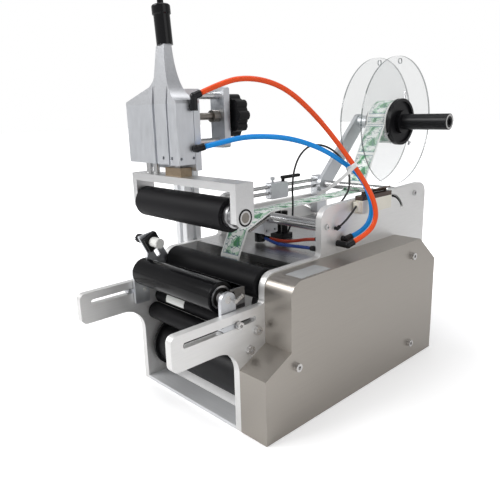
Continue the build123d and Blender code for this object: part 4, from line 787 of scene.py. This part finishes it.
def make_sticker():
    """Bare plate on top of the side cover."""
    bm = bmesh.new()
    line = [mm(STICKER_LEFT + STICKER_W / 2, y, COVER_TOP + STICKER_T / 2) for y in STICKER_ENDS]
    ribbon_faces(bm, line, Vector((1, 0, 0)), STICKER_W, STICKER_T)
    piece = link_mesh("cover_sticker", bm, MATERIALS["sticker"], smooth=False)
    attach(piece, "frame")


def make_slot_black_bar():
    """Black round bar in the rubber look, laid along the right plate's curved slot and filling it, on a
    curve through three points.
    """
    start, middle, end = [Vector(place) for place in SLOT_BAR_LINE]
    bend = middle * 2 - (start + end) / 2
    line = []
    for k in range(SLOT_BAR_STEPS + 1):
        spot = bezier(start, bend, end, k / SLOT_BAR_STEPS)
        line.append(mm(SLOT_BAR_X, spot.x, spot.y))
    piece = link_mesh("slot_black_bar", tube_mesh(line, SLOT_BAR_R / 1000, sides=12), MATERIALS["rubber"])
    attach(piece, "frame")


# Trims of the press head

def hidden_cutter(name, bm, node_name):
    """Cuts a shape from the look of a CAD node, and moves with that node."""
    target = NODES[node_name]
    cutter = link_mesh(name, bm, MATERIALS["rubber"], smooth=False)
    cutter.parent = target
    cutter.matrix_parent_inverse = target.matrix_world.inverted()
    cutter.hide_render = True
    cutter.hide_viewport = True
    cut = target.modifiers.new(name, "BOOLEAN")
    cut.operation = "DIFFERENCE"
    cut.solver = "EXACT"
    cut.object = cutter


def hollow_shoulder(foot, bend, top, reach, steps=20):
    """Outline that leaves a shoulder's foot nearly level, runs up the neck's side and closes outside it."""
    points = []
    for k in range(steps + 1):
        t = k / steps
        up = bezier(SHROUD_FOOT, SHROUD_FOOT + FOOT_RISE, NECK_TOP, t)
        points.append((bezier(foot, bend, top, t), up))
    return points + [(reach, NECK_TOP), (reach, SHROUD_FOOT)]


def shape_head():
    """Hollows the shroud's right and rear shoulders, and turns down the press roller's end to its hub."""
    right = hollow_shoulder(*RIGHT_SHOULDER, RIGHT_REACH)
    right_cut = prism_mesh(right, RIGHT_SPAN, lambda x, z, y: mm(x, y, z))
    hidden_cutter("right_shoulder", right_cut, "head_shroud")
    rear = hollow_shoulder(*REAR_SHOULDER, REAR_REACH)
    rear_cut = prism_mesh(rear, REAR_SPAN, lambda y, z, x: mm(x, y, z))
    hidden_cutter("rear_shoulder", rear_cut, "head_shroud")
    hub = (HUB_START, HEAD_Y, PRESS_Z)
    hub_cut = ring_mesh(hub, PRESS_R + CUT_MARGIN, ROLLER_HUB_R, HUB_CUT, sides=64)
    hidden_cutter("roller_end", hub_cut, "press_roller")


# Stage

def seen_ray(tree):
    """1 for rays that show the background to the camera, straight or through clear sheet."""
    path = node(tree, "ShaderNodeLightPath")
    return calc(tree, "MAXIMUM", path.outputs["Is Camera Ray"], path.outputs["Is Transmission Ray"])


def make_stage():
    """Pale floor that fades into the white background away from the object."""
    bm = bmesh.new()
    bmesh.ops.create_grid(bm, x_segments=1, y_segments=1, size=FLOOR_SIZE)
    material, tree, shader = new_material("floor_look")
    shader.inputs["Base Color"].default_value = (0.90, 0.90, 0.90, 1)
    shader.inputs["Roughness"].default_value = 0.9
    shader.inputs["Specular IOR Level"].default_value = 0.1
    xyz = split_coords(tree)
    away = length_of(tree, xyz["X"], xyz["Y"])
    far = remap(tree, away, low=GLOW_NEAR, high=1.0, start=GLOW_START, stop=GLOW_FULL)
    glow = node(tree, "ShaderNodeEmission")
    tree.links.new(calc(tree, "MULTIPLY", seen_ray(tree), far), glow.inputs["Strength"])
    both = node(tree, "ShaderNodeAddShader")
    tree.links.new(shader.outputs[0], both.inputs[0])
    tree.links.new(glow.outputs[0], both.inputs[1])
    tree.links.new(both.outputs[0], tree.nodes["Material Output"].inputs["Surface"])
    floor = link_mesh("floor", bm, material, smooth=False)
    floor.location.z = -FLOOR_DROP


def make_world():
    """White behind the object. All else sees a studio that is bright low down and darker overhead."""
    world = bpy.data.worlds.new("studio")
    world.use_nodes = True
    SCENE.world = world
    tree = world.node_tree
    height = split_coords(tree, "Generated")["Z"]
    room = ramp(tree, height, low=(0.80, 0.80, 0.80), high=(0.34, 0.34, 0.35), low_at=0.05, high_at=0.6)
    colour = mixed(tree, seen_ray(tree), room, (1.0, 1.0, 1.0))
    tree.links.new(colour, tree.nodes["Background"].inputs["Color"])


def area_light(name, place, target, size, power):
    data = bpy.data.lights.new(name, "AREA")
    data.shape = "RECTANGLE"
    data.size, data.size_y = size
    data.energy = power
    lamp = bpy.data.objects.new(name, data)
    SCENE.collection.objects.link(lamp)
    lamp.location = place
    lamp.rotation_euler = (Vector(target) - Vector(place)).to_track_quat("-Z", "Y").to_euler()


def make_lights():
    area_light("key", place=(-0.9, -1.4, 1.7), target=(0, 0.15, 0.25), size=(1.4, 1.0), power=38)
    area_light("fill", place=(1.9, 0.2, 1.0), target=(0, 0.15, 0.2), size=(1.2, 1.4), power=5)
    area_light("top", place=(0.1, 0.4, 2.0), target=(0, 0.2, 0.2), size=(1.6, 1.6), power=16)


SCENE.view_settings.view_transform = "Standard"
make_camera()
make_world()
make_lights()
make_stage()
dress_cad()
make_hoses()
make_labels()
make_rings()
make_cable_tie()
make_sticker()
make_slot_black_bar()
shape_head()
